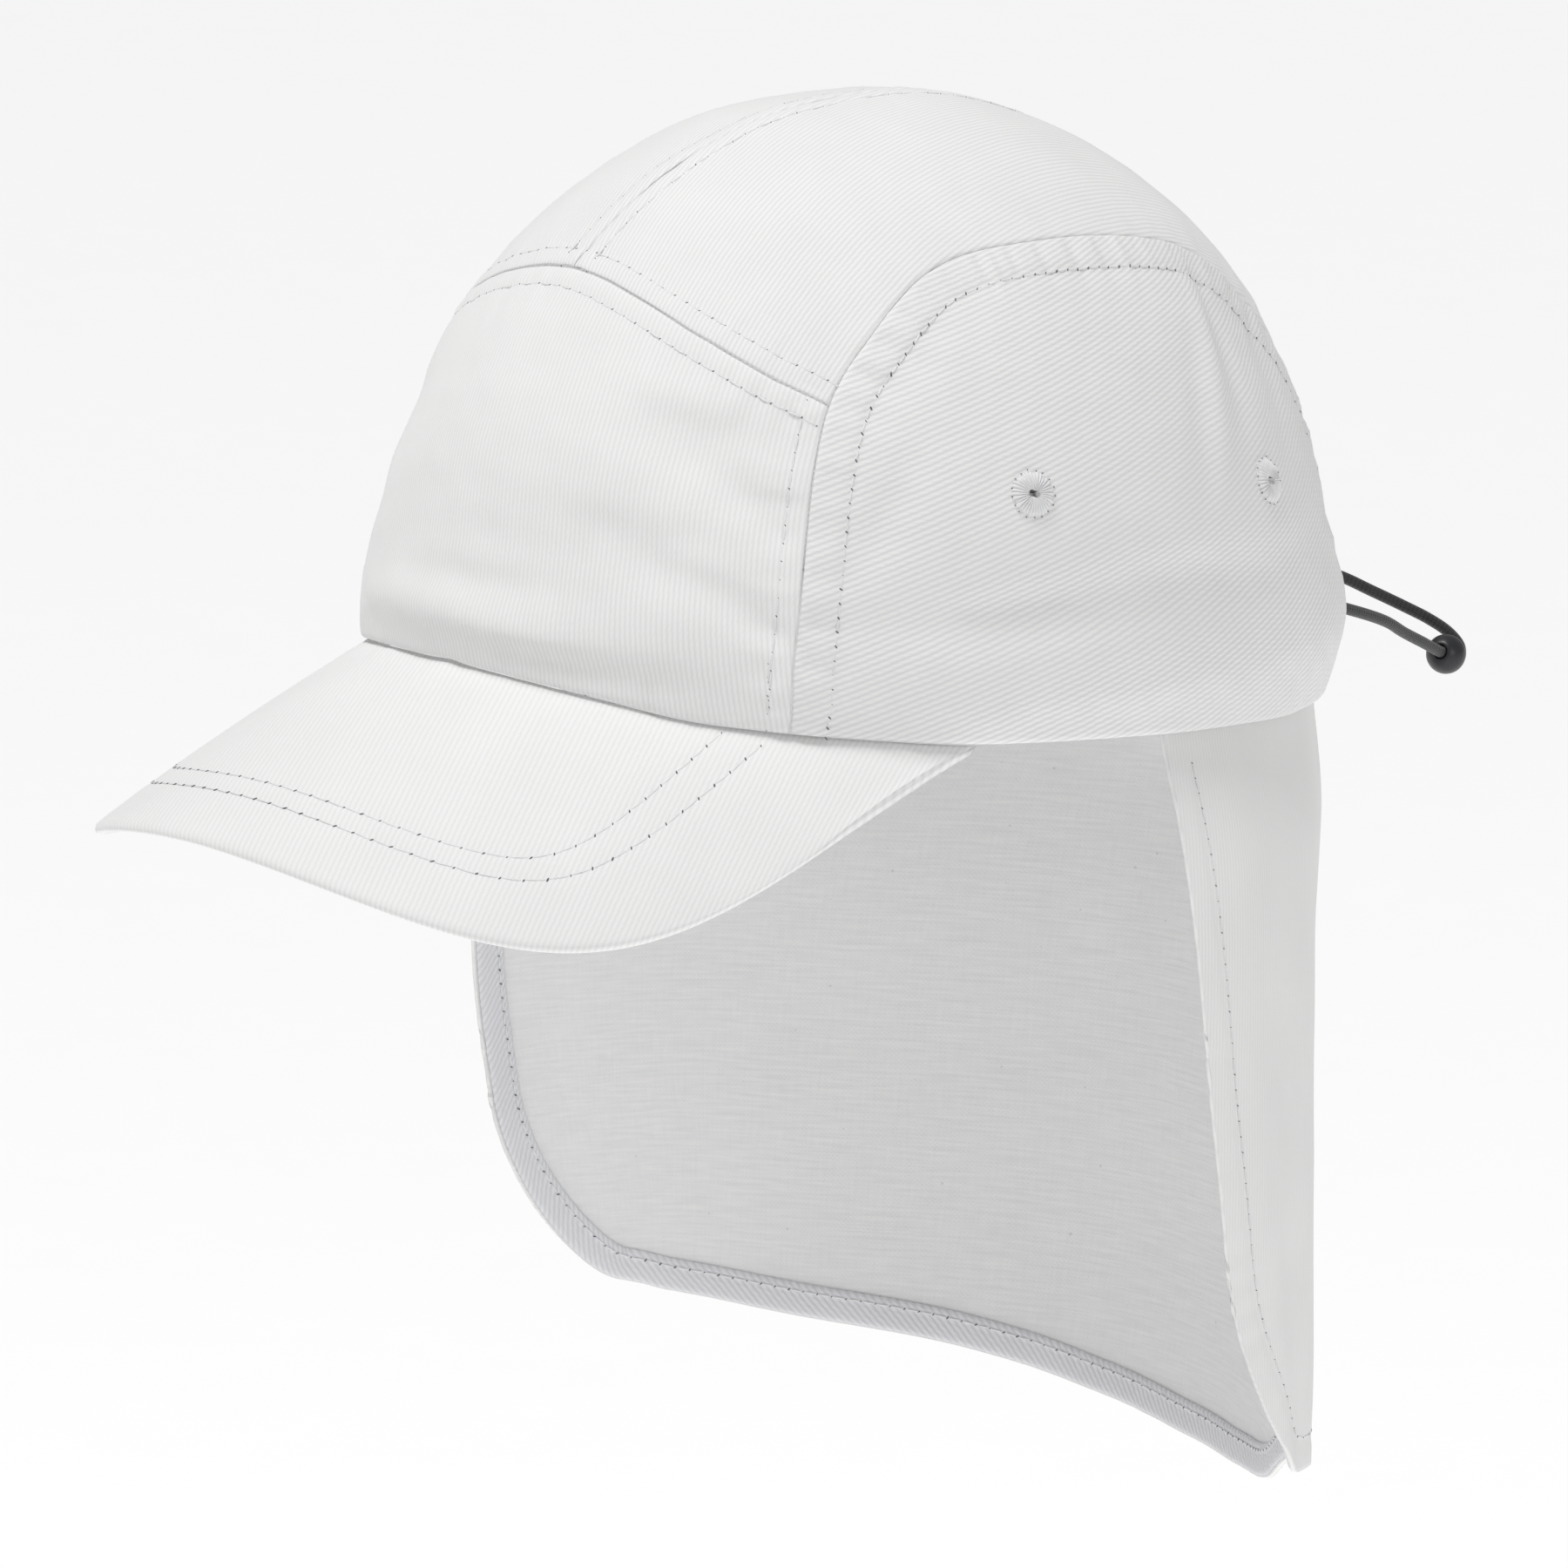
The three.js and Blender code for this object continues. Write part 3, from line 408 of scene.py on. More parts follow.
# Lines of the crown's seams in the chart
SEAM_POINTS = np.vstack([
    rim_chart(SEAM_FRONT_TURN)[None],
    [chart(turn, lift) for turn, lift in SIDE_SEAM],
    rim_chart(SEAM_BACK_TURN)[None],
])
SEAM_STEPS = 24
SEAM = smooth_line(SEAM_POINTS, SEAM_STEPS)


def mirrored(line, side):
    return line * np.array([side, 1.0])


def seam_part(first, last, side):
    return mirrored(SEAM[first * SEAM_STEPS:last * SEAM_STEPS + 1], side)


def cross_line(side):
    points = [chart(turn, lift) for turn, lift in CROSS_SEAM] + [SEAM_POINTS[CROSS_AT]]
    return mirrored(smooth_line(points), side)


def rim_line(start, end):
    return rim_chart(np.linspace(start, end, 120))


LAST = len(SEAM_POINTS) - 1


# Cloth relief of the crown panels

class Row:
    """One row of stitching: its line on the cloth, pitch and thread."""

    def __init__(self, line, pitch, groove, dark):
        self.line, self.pitch, self.groove, self.dark = line, pitch, groove, dark


class Panel:
    """A crown panel: its patch in the chart, the seams that it meets and their allowances."""

    def __init__(self, name, place, seams, size, seed, grain):
        self.name, self.place, self.size, self.seed, self.grain = name, place, size, seed, grain
        self.seams = [(spaced(crown(line), 420), roll, allowance, pucker)
                      for line, roll, allowance, pucker in seams]
        self.rows = []

    def relief(self, points):
        """How far the cloth stands out of the smooth crown at each point."""
        total = sum(height * waves(points, length, self.seed + step)
                    for height, length, step in UNEVEN)
        for k, (line, roll, allowance, pucker) in enumerate(self.seams):
            distance, along = nearest(points, line)
            edge = np.clip(1 - distance / roll, 0, 1)
            total -= ROLL_SHARE * roll * (1 - np.sqrt(1 - edge ** 2))
            ripple = waves(along[:, None] + 0 * points[:, :1], 8.5, self.seed + 10 + k)
            ripple += 0.5 * waves(along[:, None] + 0 * points[:, :1], 4.0, self.seed + 20 + k)
            belt = np.exp(-((distance - 3) / 6.5) ** 2) * np.clip(distance / 2, 0, 1)
            total += PUCKER_GAIN * pucker * ripple * belt
            if allowance:
                total += ALLOWANCE_STEP * np.clip((allowance + 0.8 - distance) / 1.6, 0, 1)
        for row in self.rows:
            distance, along = nearest(points, row.line)
            dip = 0.75 + 0.25 * np.cos(2 * math.pi * along / row.pitch)
            total -= row.groove * dip * np.exp(-(distance / ROW_GROOVE_WIDTH) ** 2)
        return total

    def dress(self, ab):
        points, normals = crown(ab), crown_normals(ab)
        return points + normals * self.relief(points)[:, None], normals

    def add_row(self, line, distance, side, pitch, groove=0.30, dark=0.5):
        """Stitching at a distance from a seam, on the given side of it."""
        ab = shifted(crown, line, distance, side)
        ab = spaced(ab, 500)
        self.rows.append(Row(crown(ab), pitch, groove, dark))
        self.rows[-1].ab = ab


def cloth_rise(lift):
    """Length of cloth from the widest ring up to a lift, or down below it."""
    lift = np.asarray(lift, float)
    return np.where(lift > 0, RISE_RADIUS, WIDEST_HEIGHT) * lift * RAD


def ring_flat(centre):
    """Flat cut of a panel that stands up: along its ring and up its middle."""
    def flat(ab):
        turn, lift = chart_angles(ab)
        ring = RING_RADIUS * np.cos(np.maximum(0, lift) * RAD) ** RING_TAPER
        return np.stack([ring * turn_between(turn, centre) * RAD, cloth_rise(lift)], -1)
    return flat


def top_flat(ab):
    turn, lift = chart_angles(ab)
    reach = cloth_rise(90.0) - cloth_rise(lift)
    return np.stack([TOP_SQUEEZE * reach * np.sin(turn * RAD), -reach * np.cos(turn * RAD)], -1)


def crown_panels():
    seed = 5
    panels = []
    cross_right, cross_left = cross_line(-1), cross_line(1)
    over_front = np.vstack([cross_right[::-1], cross_left[1:]])
    rim = rim_line(-SEAM_FRONT_TURN, SEAM_FRONT_TURN)
    left, right = seam_part(0, CROSS_AT, 1), seam_part(0, CROSS_AT, -1)
    front = Panel(
        "front_panel", patch(rim, over_front, right, left),
        [(over_front, 1.1, 4.4, 0.10), (left, 1.1, 4.2, 0.16), (right, 1.1, 4.2, 0.16),
         (rim, 1.3, 0, 0.12)],
        (118, 84), seed, ring_flat(0))
    front.add_row(over_front, 4.4, -1, 3.2, 0.26, 0.35)
    front.add_row(left, 4.2, 1, 3.4, 0.16, 0.2)
    front.add_row(right, 4.2, -1, 3.4, 0.16, 0.2)
    panels.append(front)
    for side, word in ((1, "left"), (-1, "right")):
        outside = seam_part(CROSS_AT, LAST, side)
        centre = np.stack([np.zeros(80), np.linspace(
            chart(0, CROSS_SEAM[0][1])[1], rim_chart(180.0)[1], 80)], -1)
        share = (outside[:, 1] - outside[0, 1]) / (outside[-1, 1] - outside[0, 1])
        matched = np.stack([0 * share, centre[0, 1] + share * (centre[-1, 1] - centre[0, 1])], -1)
        cross = cross_line(side)
        back = mirrored(rim_line(180, SEAM_BACK_TURN), side)

        def place(u, v, inner=matched, outer=outside, start=cross, end=back):
            at = np.linspace(0, 1, len(outer))
            along = lengths_of(outer)
            along /= along[-1]
            t = np.interp(v, along, at)
            run = lambda line, s: np.stack(
                [np.interp(s, np.linspace(0, 1, len(line)), line[:, k]) for k in (0, 1)], -1)
            c, d = run(spaced(start, 200), u), run(spaced(end, 200), u)
            e, f = run(inner, t), run(outer, t)
            u, v = u[:, None], v[:, None]
            return ((1 - v) * c + v * d + (1 - u) * e + u * f
                    - (1 - u) * (1 - v) * start[0] - u * (1 - v) * outer[0]
                    - (1 - u) * v * inner[-1] - u * v * outer[-1])

        top = Panel(
            "top_panel_" + word, place,
            [(outside, 1.1, 0, 0.14), (centre, 1.1, 4.0, 0.08), (cross, 1.1, 4.4, 0.10),
             (back, 1.3, 0, 0.10)],
            (78, 196), seed + 3 + side, top_flat)
        top.add_row(cross, 4.4, side, 3.2, 0.26, 0.35)
        top.add_row(centre, 4.0, -side, 3.2, 0.20, 0.25)
        panels.append(top)
        bottom = mirrored(rim_line(SEAM_FRONT_TURN, SEAM_BACK_TURN), side)
        arch = seam_part(0, LAST, side)
        wall = Panel(
            "side_panel_" + word,
            patch(bottom, seam_part(SIDE_FRONT_AT, SIDE_BACK_AT, side),
                  seam_part(0, SIDE_FRONT_AT, side), seam_part(SIDE_BACK_AT, LAST, side)[::-1]),
            [(arch, 1.1, 7.4, 0.22), (bottom, 1.4, 0, 0.10)],
            (150, 108), seed + 7 + side, ring_flat(102 * side))
        wall.add_row(arch, 7.4, -side, 2.7, 0.34, 1.0)
        panels.append(wall)
    return panels


def brim_height(x, y):
    bend = BRIM_BEND - np.sqrt(np.maximum(1, BRIM_BEND ** 2 - x * x))
    return BRIM_RISE + math.tan(BRIM_SLOPE * RAD) * (y + HEAD_FRONT) - bend


def smooth_rim(turn):
    """The rim where the brim is sewn on, one wall inside the crown."""
    ab = rim_chart(turn)
    point, normal = crown(ab), crown_normals(ab)
    normal[..., 2] = 0
    normal /= np.linalg.norm(normal, axis=-1, keepdims=True)
    return point - normal * CROWN_WALL


def brim_top(uv):
    u, v = uv[..., 0], uv[..., 1]
    turn = (2 * u - 1) * BRIM_END_TURN
    inner = smooth_rim(turn)
    end = smooth_rim(np.array([BRIM_END_TURN]))[0]
    sweep = (2 * u - 1) * BRIM_END_SWEEP * RAD
    x = BRIM_HALF_WIDTH * np.sign(sweep) * np.abs(np.sin(sweep)) ** (2 / BRIM_CORNER_SIDE)
    y = end[1] - (HEAD_FRONT + BRIM_LENGTH + end[1]) * np.cos(sweep) ** (2 / BRIM_CORNER_FRONT)
    px = inner[..., 0] + (x - inner[..., 0]) * v
    py = inner[..., 1] + (y - inner[..., 1]) * v
    seat = inner[..., 2] - 0.3 - brim_height(inner[..., 0], inner[..., 1])
    pz = brim_height(px, py) + seat * np.clip(1 - v, 0, 2) ** 2
    return np.stack([px, py, pz], -1)


def brim_normals(uv):
    inside = np.stack([np.clip(uv[..., 0], 0.006, 0.994), np.clip(uv[..., 1], 0.006, 0.994)], -1)
    n = normals_of(brim_top, inside, 3e-3)
    return np.where(n[..., 2:] < 0, -n, n)


def flap_levels(s):
    """Plan points of the flap at each level, for shares s."""
    angle = np.abs(s) * math.pi / 2
    rows = []
    for _, reach, left, right, back, flatness in FLAP_ROWS:
        edge = HEAD_FRONT * np.where(s > 0, left, right)
        level = np.cos(angle) - flatness * np.sin(2 * angle) ** 2
        rows.append(np.stack([HEAD_HALF_WIDTH * reach * np.sign(s) * np.sin(angle),
                              edge + (HEAD_BACK * back - edge) * level], -1))
    return rows


def flap_turn(s):
    return np.where(s >= 0, 1, -1) * (180 - (180 - FLAP_EDGE_TURN) * np.abs(s))


def flap(sd):
    """Middle of the flap's cloth: share s round the back, drop below the origin."""
    s, drop = np.clip(sd[..., 0], -1, 1).ravel(), sd[..., 1].ravel()
    turn = flap_turn(s)
    start = -rim_height(turn)

    def inside(height):
        ab = chart(turn, lift_at_height(height))
        return crown(ab) - crown_normals(ab) * FLAP_INSET

    out = inside(np.maximum(-drop, rim_height(turn)))
    top = inside(-start)
    below = drop > start
    xs = np.stack([start] + [np.full_like(start, row[0] * FLAP_LENGTH) for row in FLAP_ROWS])
    ys = np.stack([top[:, :2]] + flap_levels(s))
    plan = hermite(xs, ys, drop)
    settle = np.clip(1 - (drop - start) / (0.1 * FLAP_LENGTH), 0, 1)
    hung = np.concatenate([plan, (-drop + (top[:, 2] + start) * settle)[:, None]], 1)
    return np.where(below[:, None], hung, out).reshape(sd.shape[:-1] + (3,))


def hermite(xs, ys, x):
    """Monotone cubic where each point has its own column of keys and values."""
    tangents = tangents_of(np.diff(ys, axis=0) / np.diff(xs, axis=0)[..., None])
    at = np.arange(len(x))
    i = np.clip((xs < x).sum(0) - 1, 0, len(xs) - 2)
    h = (xs[i + 1, at] - xs[i, at])[:, None]
    t = (x - xs[i, at])[:, None] / h
    late, t = np.maximum(t - 1, 0), np.minimum(t, 1)
    value = cubic(t, h, ys[i, at], ys[i + 1, at], tangents[i, at], tangents[i + 1, at])
    return value + late * h * tangents[i + 1, at]


def flap_open(sd):
    """The flap carried on past its free edges, for lines that are measured from them."""
    inside = np.stack([np.clip(sd[..., 0], -FLAP_NEAR_EDGE, FLAP_NEAR_EDGE), sd[..., 1]], -1)
    small = 0.004
    step = np.array([small, 0.0])
    past = (sd[..., 0] - inside[..., 0])[..., None] / small
    p = flap(inside)
    return p + (flap(inside + step) - p) * past


def flap_normals(sd):
    inside = np.stack([np.clip(sd[..., 0], -FLAP_NEAR_EDGE, FLAP_NEAR_EDGE), sd[..., 1]], -1)
    ds, dd = np.array([0.008, 0.0]), np.array([0.0, 1.5])
    n = np.cross(flap(inside + ds) - flap(inside - ds), flap(inside + dd) - flap(inside - dd))
    n /= np.maximum(1e-12, np.linalg.norm(n, axis=-1, keepdims=True))
    out = flap(inside)
    out[..., 2] = 0
    return np.where((n * out).sum(-1, keepdims=True) < 0, -n, n)


def hem_drop(s):
    share = np.abs(s)
    base = FLAP_LENGTH * np.where(s > 0, hem_left(share), hem_right(share))
    into = np.maximum(0, (share - 1 + FLAP_CORNER_SHARE) / FLAP_CORNER_SHARE)
    return base - FLAP_CORNER_RISE * (1 - np.sqrt(np.maximum(0, 1 - into * into)))


def flap_start(s):
    return -rim_height(flap_turn(s))


def flap_edge_line(count=500):
    """The free edge of the flap: down the left side, along the hem, up the right side."""
    top = FACING_TOP_DROP - float(rim_height(np.array([FLAP_EDGE_TURN]))[0])
    low_left, low_right = float(hem_drop(np.array(1.0))), float(hem_drop(np.array(-1.0)))
    sides = np.linspace(0, 1, 40)[:-1]
    down = np.stack([np.ones(39), top + (low_left - top) * sides], -1)
    s = np.cos(np.linspace(0, math.pi, 240))
    along = np.stack([s, hem_drop(s)], -1)
    up = np.stack([-np.ones(39), low_right + (top - low_right) * (sides + 1 / 39)], -1)
    sd = np.vstack([down, along, up])
    length = lengths_of(flap(sd))
    want = np.linspace(0, length[-1], count)
    return np.stack([np.interp(want, length, sd[:, k]) for k in (0, 1)], -1)


# Meshes

def to_object(bm, name, materials, smooth=True):
    for face in bm.faces:
        face.smooth = smooth
    mesh = bpy.data.meshes.new(name)
    bm.to_mesh(mesh)
    bm.free()
    for material in materials:
        mesh.materials.append(material)
    piece = bpy.data.objects.new(name, mesh)
    bpy.context.scene.collection.objects.link(piece)
    return piece


def cloth_grid(us, vs, place, flat, outward):
    """A sheet of cloth: create_grid moved onto place(u, v), with flat(u, v) as its map."""
    bm = bmesh.new()
    bmesh.ops.create_grid(bm, x_segments=len(us) - 1, y_segments=len(vs) - 1, size=0.5)
    at = np.array([(v.co.x + 0.5, v.co.y + 0.5) for v in bm.verts])
    u = us[np.rint(at[:, 0] * (len(us) - 1)).astype(int)]
    v = vs[np.rint(at[:, 1] * (len(vs) - 1)).astype(int)]
    points, cut = place(u, v), flat(u, v)
    for vert, p in zip(bm.verts, points * MM):
        vert.co = p
    layer = bm.loops.layers.uv.new(CLOTH_MAP)
    bm.verts.index_update()
    for face in bm.faces:
        for loop in face.loops:
            loop[layer].uv = cut[loop.vert.index]
    bm.normal_update()
    turned = sum((1 if f.normal.dot(outward(f.calc_center_median())) > 0 else -1) for f in bm.faces)
    if turned < 0:
        bmesh.ops.reverse_faces(bm, faces=bm.faces[:])
    return bm


def thicken(piece, thickness, offset=-1.0, inner=0, rim=0):
    wall = piece.modifiers.new("wall", "SOLIDIFY")
    wall.thickness = thickness * MM
    wall.offset = offset
    wall.use_even_offset = False
    wall.material_offset = inner
    wall.material_offset_rim = rim
    return piece


def finish_piece(piece, slot, *nodes):
    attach(piece, "root")
    if nodes:
        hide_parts(*nodes)
    return piece


def frame_on(point, along, normal):
    """Matrix with x along the stitch, z out of the cloth, at a point."""
    x = Vector(along).normalized()
    z = Vector(normal)
    z = (z - x * z.dot(x)).normalized()
    y = z.cross(x)
    turn = Matrix((x, y, z)).transposed().to_4x4()
    return Matrix.Translation(Vector(point)) @ turn


def sew(bm, line, normals, pitch, thread, dark, seed, lie=0.05):
    """Lays stitches along a line: each is a low strand that dips into its needle holes."""
    rng = np.random.default_rng(seed)
    along = lengths_of(line)
    count = max(1, int(along[-1] / pitch))
    ends = np.arange(count + 1) * along[-1] / count
    spots = np.stack([np.interp(ends, along, line[:, k]) for k in range(3)], -1)
    ups = np.stack([np.interp(ends, along, normals[:, k]) for k in range(3)], -1)
    strand, shade_dot = bead(6, 6, True), bead(6, 4, False)
    for i in range(count):
        a, b = spots[i], spots[i + 1]
        up = (ups[i] + ups[i + 1]) / 2
        up /= np.linalg.norm(up)
        centre = (a + b) / 2 + up * (lie + rng.uniform(-0.02, 0.02))
        length = np.linalg.norm(b - a) * 0.80
        place = frame_on(centre * MM, b - a, up) @ Matrix.Rotation(rng.uniform(-0.07, 0.07), 4, "Z")
        size = Matrix.Diagonal((length / 2 * MM, thread / 2 * MM, thread * 0.42 * MM, 1))
        put(bm, strand, place @ size)
    threads = len(bm.faces)
    # Each needle hole is a flat grey disc in the hole material: painted shade, larger where dark is
    # higher.
    for i in range(count + 1):
        if dark <= 0:
            break
        up = ups[i] / np.linalg.norm(ups[i])
        ahead = spots[min(i + 1, count)] - spots[max(i - 1, 0)]
        hole = (0.11 + 0.12 * dark) * rng.uniform(0.65, 1.15)
        slant = Matrix.Rotation(0.9 + rng.uniform(-0.25, 0.25), 4, "Z")
        place = frame_on((spots[i] + up * 0.03) * MM, ahead, up) @ slant
        put(bm, shade_dot, place @ Matrix.Diagonal((hole * 2.1 * MM, hole * 0.8 * MM, 0.12 * MM, 1)))
    bm.faces.ensure_lookup_table()
    for face in bm.faces[threads:]:
        face.material_index = 1
    for mesh in (strand, shade_dot):
        bpy.data.meshes.remove(mesh)


def bead(around, rows, lying):
    """A ball of unit radius to copy, with its poles on X if it lies down."""
    bm = bmesh.new()
    turn = Matrix.Rotation(math.pi / 2, 4, "Y") if lying else Matrix()
    bmesh.ops.create_uvsphere(bm, u_segments=around, v_segments=rows, radius=1, matrix=turn)
    mesh = bpy.data.meshes.new("bead")
    bm.to_mesh(mesh)
    bm.free()
    return mesh


def put(bm, mesh, matrix):
    """Adds a copy of a mesh at a place."""
    copy = mesh.copy()
    copy.transform(matrix)
    bm.from_mesh(copy)
    bpy.data.meshes.remove(copy)


# Materials

def linear(colour):
    """sRGB hex to linear RGBA."""
    parts = [int(colour[i:i + 2], 16) / 255 for i in (1, 3, 5)]
    return (*(c / 12.92 if c <= 0.04045 else ((c + 0.055) / 1.055) ** 2.4 for c in parts), 1.0)


MATH, NOISE, MIX = "ShaderNodeMath", "ShaderNodeTexNoise", "ShaderNodeMix"
TIMES, PLUS, MINUS = {"operation": "MULTIPLY"}, {"operation": "ADD"}, {"operation": "SUBTRACT"}
TIMES_PLUS, SINE = {"operation": "MULTIPLY_ADD"}, {"operation": "SINE"}
RGBA = {"data_type": "RGBA"}


def add(tree, kind, settings, inputs, out=0):
    """Adds a node with its settings, fills or links its inputs and gives one output."""
    node = tree.nodes.new(kind)
    for key, value in settings.items():
        setattr(node, key, value)
    for key, value in inputs.items():
        if isinstance(value, bpy.types.NodeSocket):
            tree.links.new(value, node.inputs[key])
        else:
            node.inputs[key].default_value = value
    return node if out is None else node.outputs[out]


def material(name, roughness, **sockets):
    made = bpy.data.materials.new(name)
    made.use_nodes = True
    tree = made.node_tree
    shader = tree.nodes["Principled BSDF"]
    shader.inputs["Roughness"].default_value = roughness
    for key, value in sockets.items():
        shader.inputs[key.replace("_", " ")].default_value = value
    return made, tree, shader


def cover(tree, shader, colour, height, relief, strength=1.0):
    """Gives the shader its colour, and its height in millimetres as a bump."""
    tree.links.new(colour, shader.inputs["Base Color"])
    bump = add(tree, "ShaderNodeBump", {},
               {"Height": height, "Strength": strength, "Distance": relief * MM})
    tree.links.new(bump, shader.inputs["Normal"])


def cloth_axes(tree, angle):
    """Coordinates of the flat cut in millimetres, turned so that x runs along the ribs."""
    where = add(tree, "ShaderNodeUVMap", {"uv_map": CLOTH_MAP}, {})
    turned = add(tree, "ShaderNodeMapping", {},
                 {"Vector": where, "Rotation": (0, 0, -angle * RAD)})
    split = add(tree, "ShaderNodeSeparateXYZ", {}, {"Vector": turned}, None)
    return turned, split.outputs["X"], split.outputs["Y"]


def twill(name, light, dark, angle, rib, relief, contrast):
    """Cotton twill: raised diagonal ribs of packed warp floats with a thin valley between.

    The eye sees even slanted ribs, a little broken where each float dips under the weft,
    and slow changes of tone where the cloth was pressed and handled. The ribs of such
    cloth lie about 0.5 to 1 mm apart and are drawn a little wider so that they show.
    """
    float_length = 1.9
    made, tree, shader = material(name, 0.86, Sheen_Weight=0.12, Sheen_Roughness=0.5,
                                  Specular_IOR_Level=0.22)
    where, along, across = cloth_axes(tree, angle)
    wander = add(tree, NOISE, {}, {"Vector": where, "Scale": 0.16, "Detail": 3.0})
    fuzz = add(tree, NOISE, {}, {"Vector": where, "Scale": 1.3, "Detail": 4.0})
    slow = add(tree, NOISE, {}, {"Vector": where, "Scale": 0.045, "Detail": 2.0})
    shake = add(tree, MATH, TIMES, {0: fuzz, 1: 0.9})
    drift = add(tree, MATH, TIMES_PLUS, {0: wander, 1: 2.2, 2: shake})
    turns = add(tree, MATH, TIMES, {0: across, 1: 2 * math.pi / rib})
    phase = add(tree, MATH, PLUS, {0: turns, 1: drift})
    wave = add(tree, MATH, SINE, {0: phase})
    lifted = add(tree, MATH, TIMES_PLUS, {0: wave, 1: 0.5, 2: 0.5})
    ridge = add(tree, MATH, {"operation": "POWER"}, {0: lifted, 1: 0.7})
    floats = add(tree, MATH, TIMES_PLUS, {0: along, 1: 2 * math.pi / float_length, 2: phase})
    steps = add(tree, MATH, SINE, {0: floats})
    dips = add(tree, MATH, TIMES_PLUS, {0: steps, 1: 0.16, 2: 0.84})
    ribs = add(tree, MATH, TIMES, {0: ridge, 1: dips})
    bloom = add(tree, MATH, TIMES, {0: fuzz, 1: 0.25})
    height = add(tree, MATH, PLUS, {0: ribs, 1: bloom})
    share = add(tree, MATH, TIMES_PLUS, {0: height, 1: contrast, 2: 1.02 - contrast})
    share = add(tree, MATH, {"operation": "MINIMUM"}, {0: share, 1: 1.0})
    tone = add(tree, MIX, RGBA, {0: share, 6: linear(dark), 7: linear(light)}, 2)
    level = add(tree, MATH, TIMES_PLUS, {0: slow, 1: 0.07, 2: 0.965})
    grey = add(tree, "ShaderNodeCombineXYZ", {}, {"X": level, "Y": level, "Z": level})
    tint = add(tree, MIX, {**RGBA, "blend_type": "MULTIPLY"}, {0: 1.0, 6: tone, 7: grey}, 2)
    cover(tree, shader, tint, height, relief)
    return made


def plain_weave(name, light, dark):
    """Light plain-weave cotton: level threads with thick slubs across and a few dark flecks.

    The eye sees a smooth, faintly streaked face, quieter than the twill. Threads of such
    cloth lie about 0.4 mm apart and are drawn 0.9 mm apart so that they show.
    """
    thread_pitch = 0.9
    made, tree, shader = material(name, 0.9, Sheen_Weight=0.1, Sheen_Roughness=0.5,
                                  Specular_IOR_Level=0.2)
    where, along, across = cloth_axes(tree, 0)
    flat = add(tree, "ShaderNodeMapping", {}, {"Vector": where, "Scale": (0.09, 1.5, 1.0)})
    slub = add(tree, NOISE, {}, {"Vector": flat, "Scale": 1.0, "Detail": 3.0})
    tall = add(tree, "ShaderNodeMapping", {}, {"Vector": where, "Scale": (1.6, 0.12, 1.0)})
    warp = add(tree, NOISE, {}, {"Vector": tall, "Scale": 1.0, "Detail": 2.0})
    threads = {}
    for number, axis in enumerate((along, across)):
        turns = add(tree, MATH, TIMES, {0: axis, 1: 2 * math.pi / thread_pitch})
        threads[number] = add(tree, MATH, SINE, {0: turns})
    check = add(tree, MATH, TIMES, threads)
    thick = add(tree, MATH, TIMES, {0: slub, 1: 0.9})
    thin = add(tree, MATH, TIMES, {0: warp, 1: 0.35})
    fine = add(tree, MATH, TIMES_PLUS, {0: check, 1: 0.10, 2: thin})
    height = add(tree, MATH, PLUS, {0: thick, 1: fine})
    fleck = add(tree, "ShaderNodeTexVoronoi", {},
                {"Vector": where, "Scale": 0.2, "Randomness": 1.0}, None)
    draw = add(tree, "ShaderNodeSeparateColor", {}, {"Color": fleck.outputs["Color"]})
    size = add(tree, MATH, TIMES, {0: draw, 1: 0.07})
    mark = add(tree, MATH, {"operation": "LESS_THAN"}, {0: fleck.outputs["Distance"], 1: size})
    bright = add(tree, MATH, TIMES_PLUS, {0: height, 1: 0.75, 2: 0.22})
    dimmed = add(tree, MATH, TIMES, {0: mark, 1: 0.55})
    share = add(tree, MATH, MINUS, {0: bright, 1: dimmed})
    share = add(tree, MATH, {"operation": "MINIMUM"}, {0: share, 1: 1.0})
    share = add(tree, MATH, {"operation": "MAXIMUM"}, {0: share, 1: 0.0})
    tone = add(tree, MIX, RGBA, {0: share, 6: linear(dark), 7: linear(light)}, 2)
    cover(tree, shader, tone, height, 0.08)
    return made


def speckled(name, light, dark, roughness, scale, relief, sockets):
    """A finish with a fine even grain, in Object coordinates; scale is grains to the metre."""
    made, tree, shader = material(name, roughness, **sockets)
    where = add(tree, "ShaderNodeTexCoord", {}, {}, "Object")
    grain = add(tree, NOISE, {}, {"Vector": where, "Scale": scale, "Detail": 3.0})
    tone = add(tree, MIX, RGBA, {0: grain, 6: linear(dark), 7: linear(light)}, 2)
    cover(tree, shader, tone, grain, relief, 0.8)
    return made


def braided(name, light, dark):
    """Braided cover of a round elastic: two sets of strands that cross in diamonds 0.9 mm long.

    The eye sees a black cord with a faint diamond grain.
    """
    strands, repeat = 8, 1.8
    made, tree, shader = material(name, 0.62, Sheen_Weight=0.2)
    _, along, around = cloth_axes(tree, 0)
    turn = add(tree, MATH, TIMES, {0: around, 1: strands * 2 / CORD_DIAMETER})
    run = add(tree, MATH, TIMES, {0: along, 1: 2 * math.pi / repeat})
    ways = {}
    for number, kind in enumerate((PLUS, MINUS)):
        phase = add(tree, MATH, kind, {0: run, 1: turn})
        ways[number] = add(tree, MATH, SINE, {0: phase})
    both = add(tree, MATH, TIMES, ways)
    height = add(tree, MATH, TIMES_PLUS, {0: both, 1: 0.5, 2: 0.5})
    tone = add(tree, MIX, RGBA, {0: height, 6: linear(dark), 7: linear(light)}, 2)
    cover(tree, shader, tone, height, 0.10)
    return made


def hex_of(colour):
    """Hex text of a colour property that holds sRGB values."""
    return "#" + "".join(f"{round(c * 255):02x}" for c in colour)


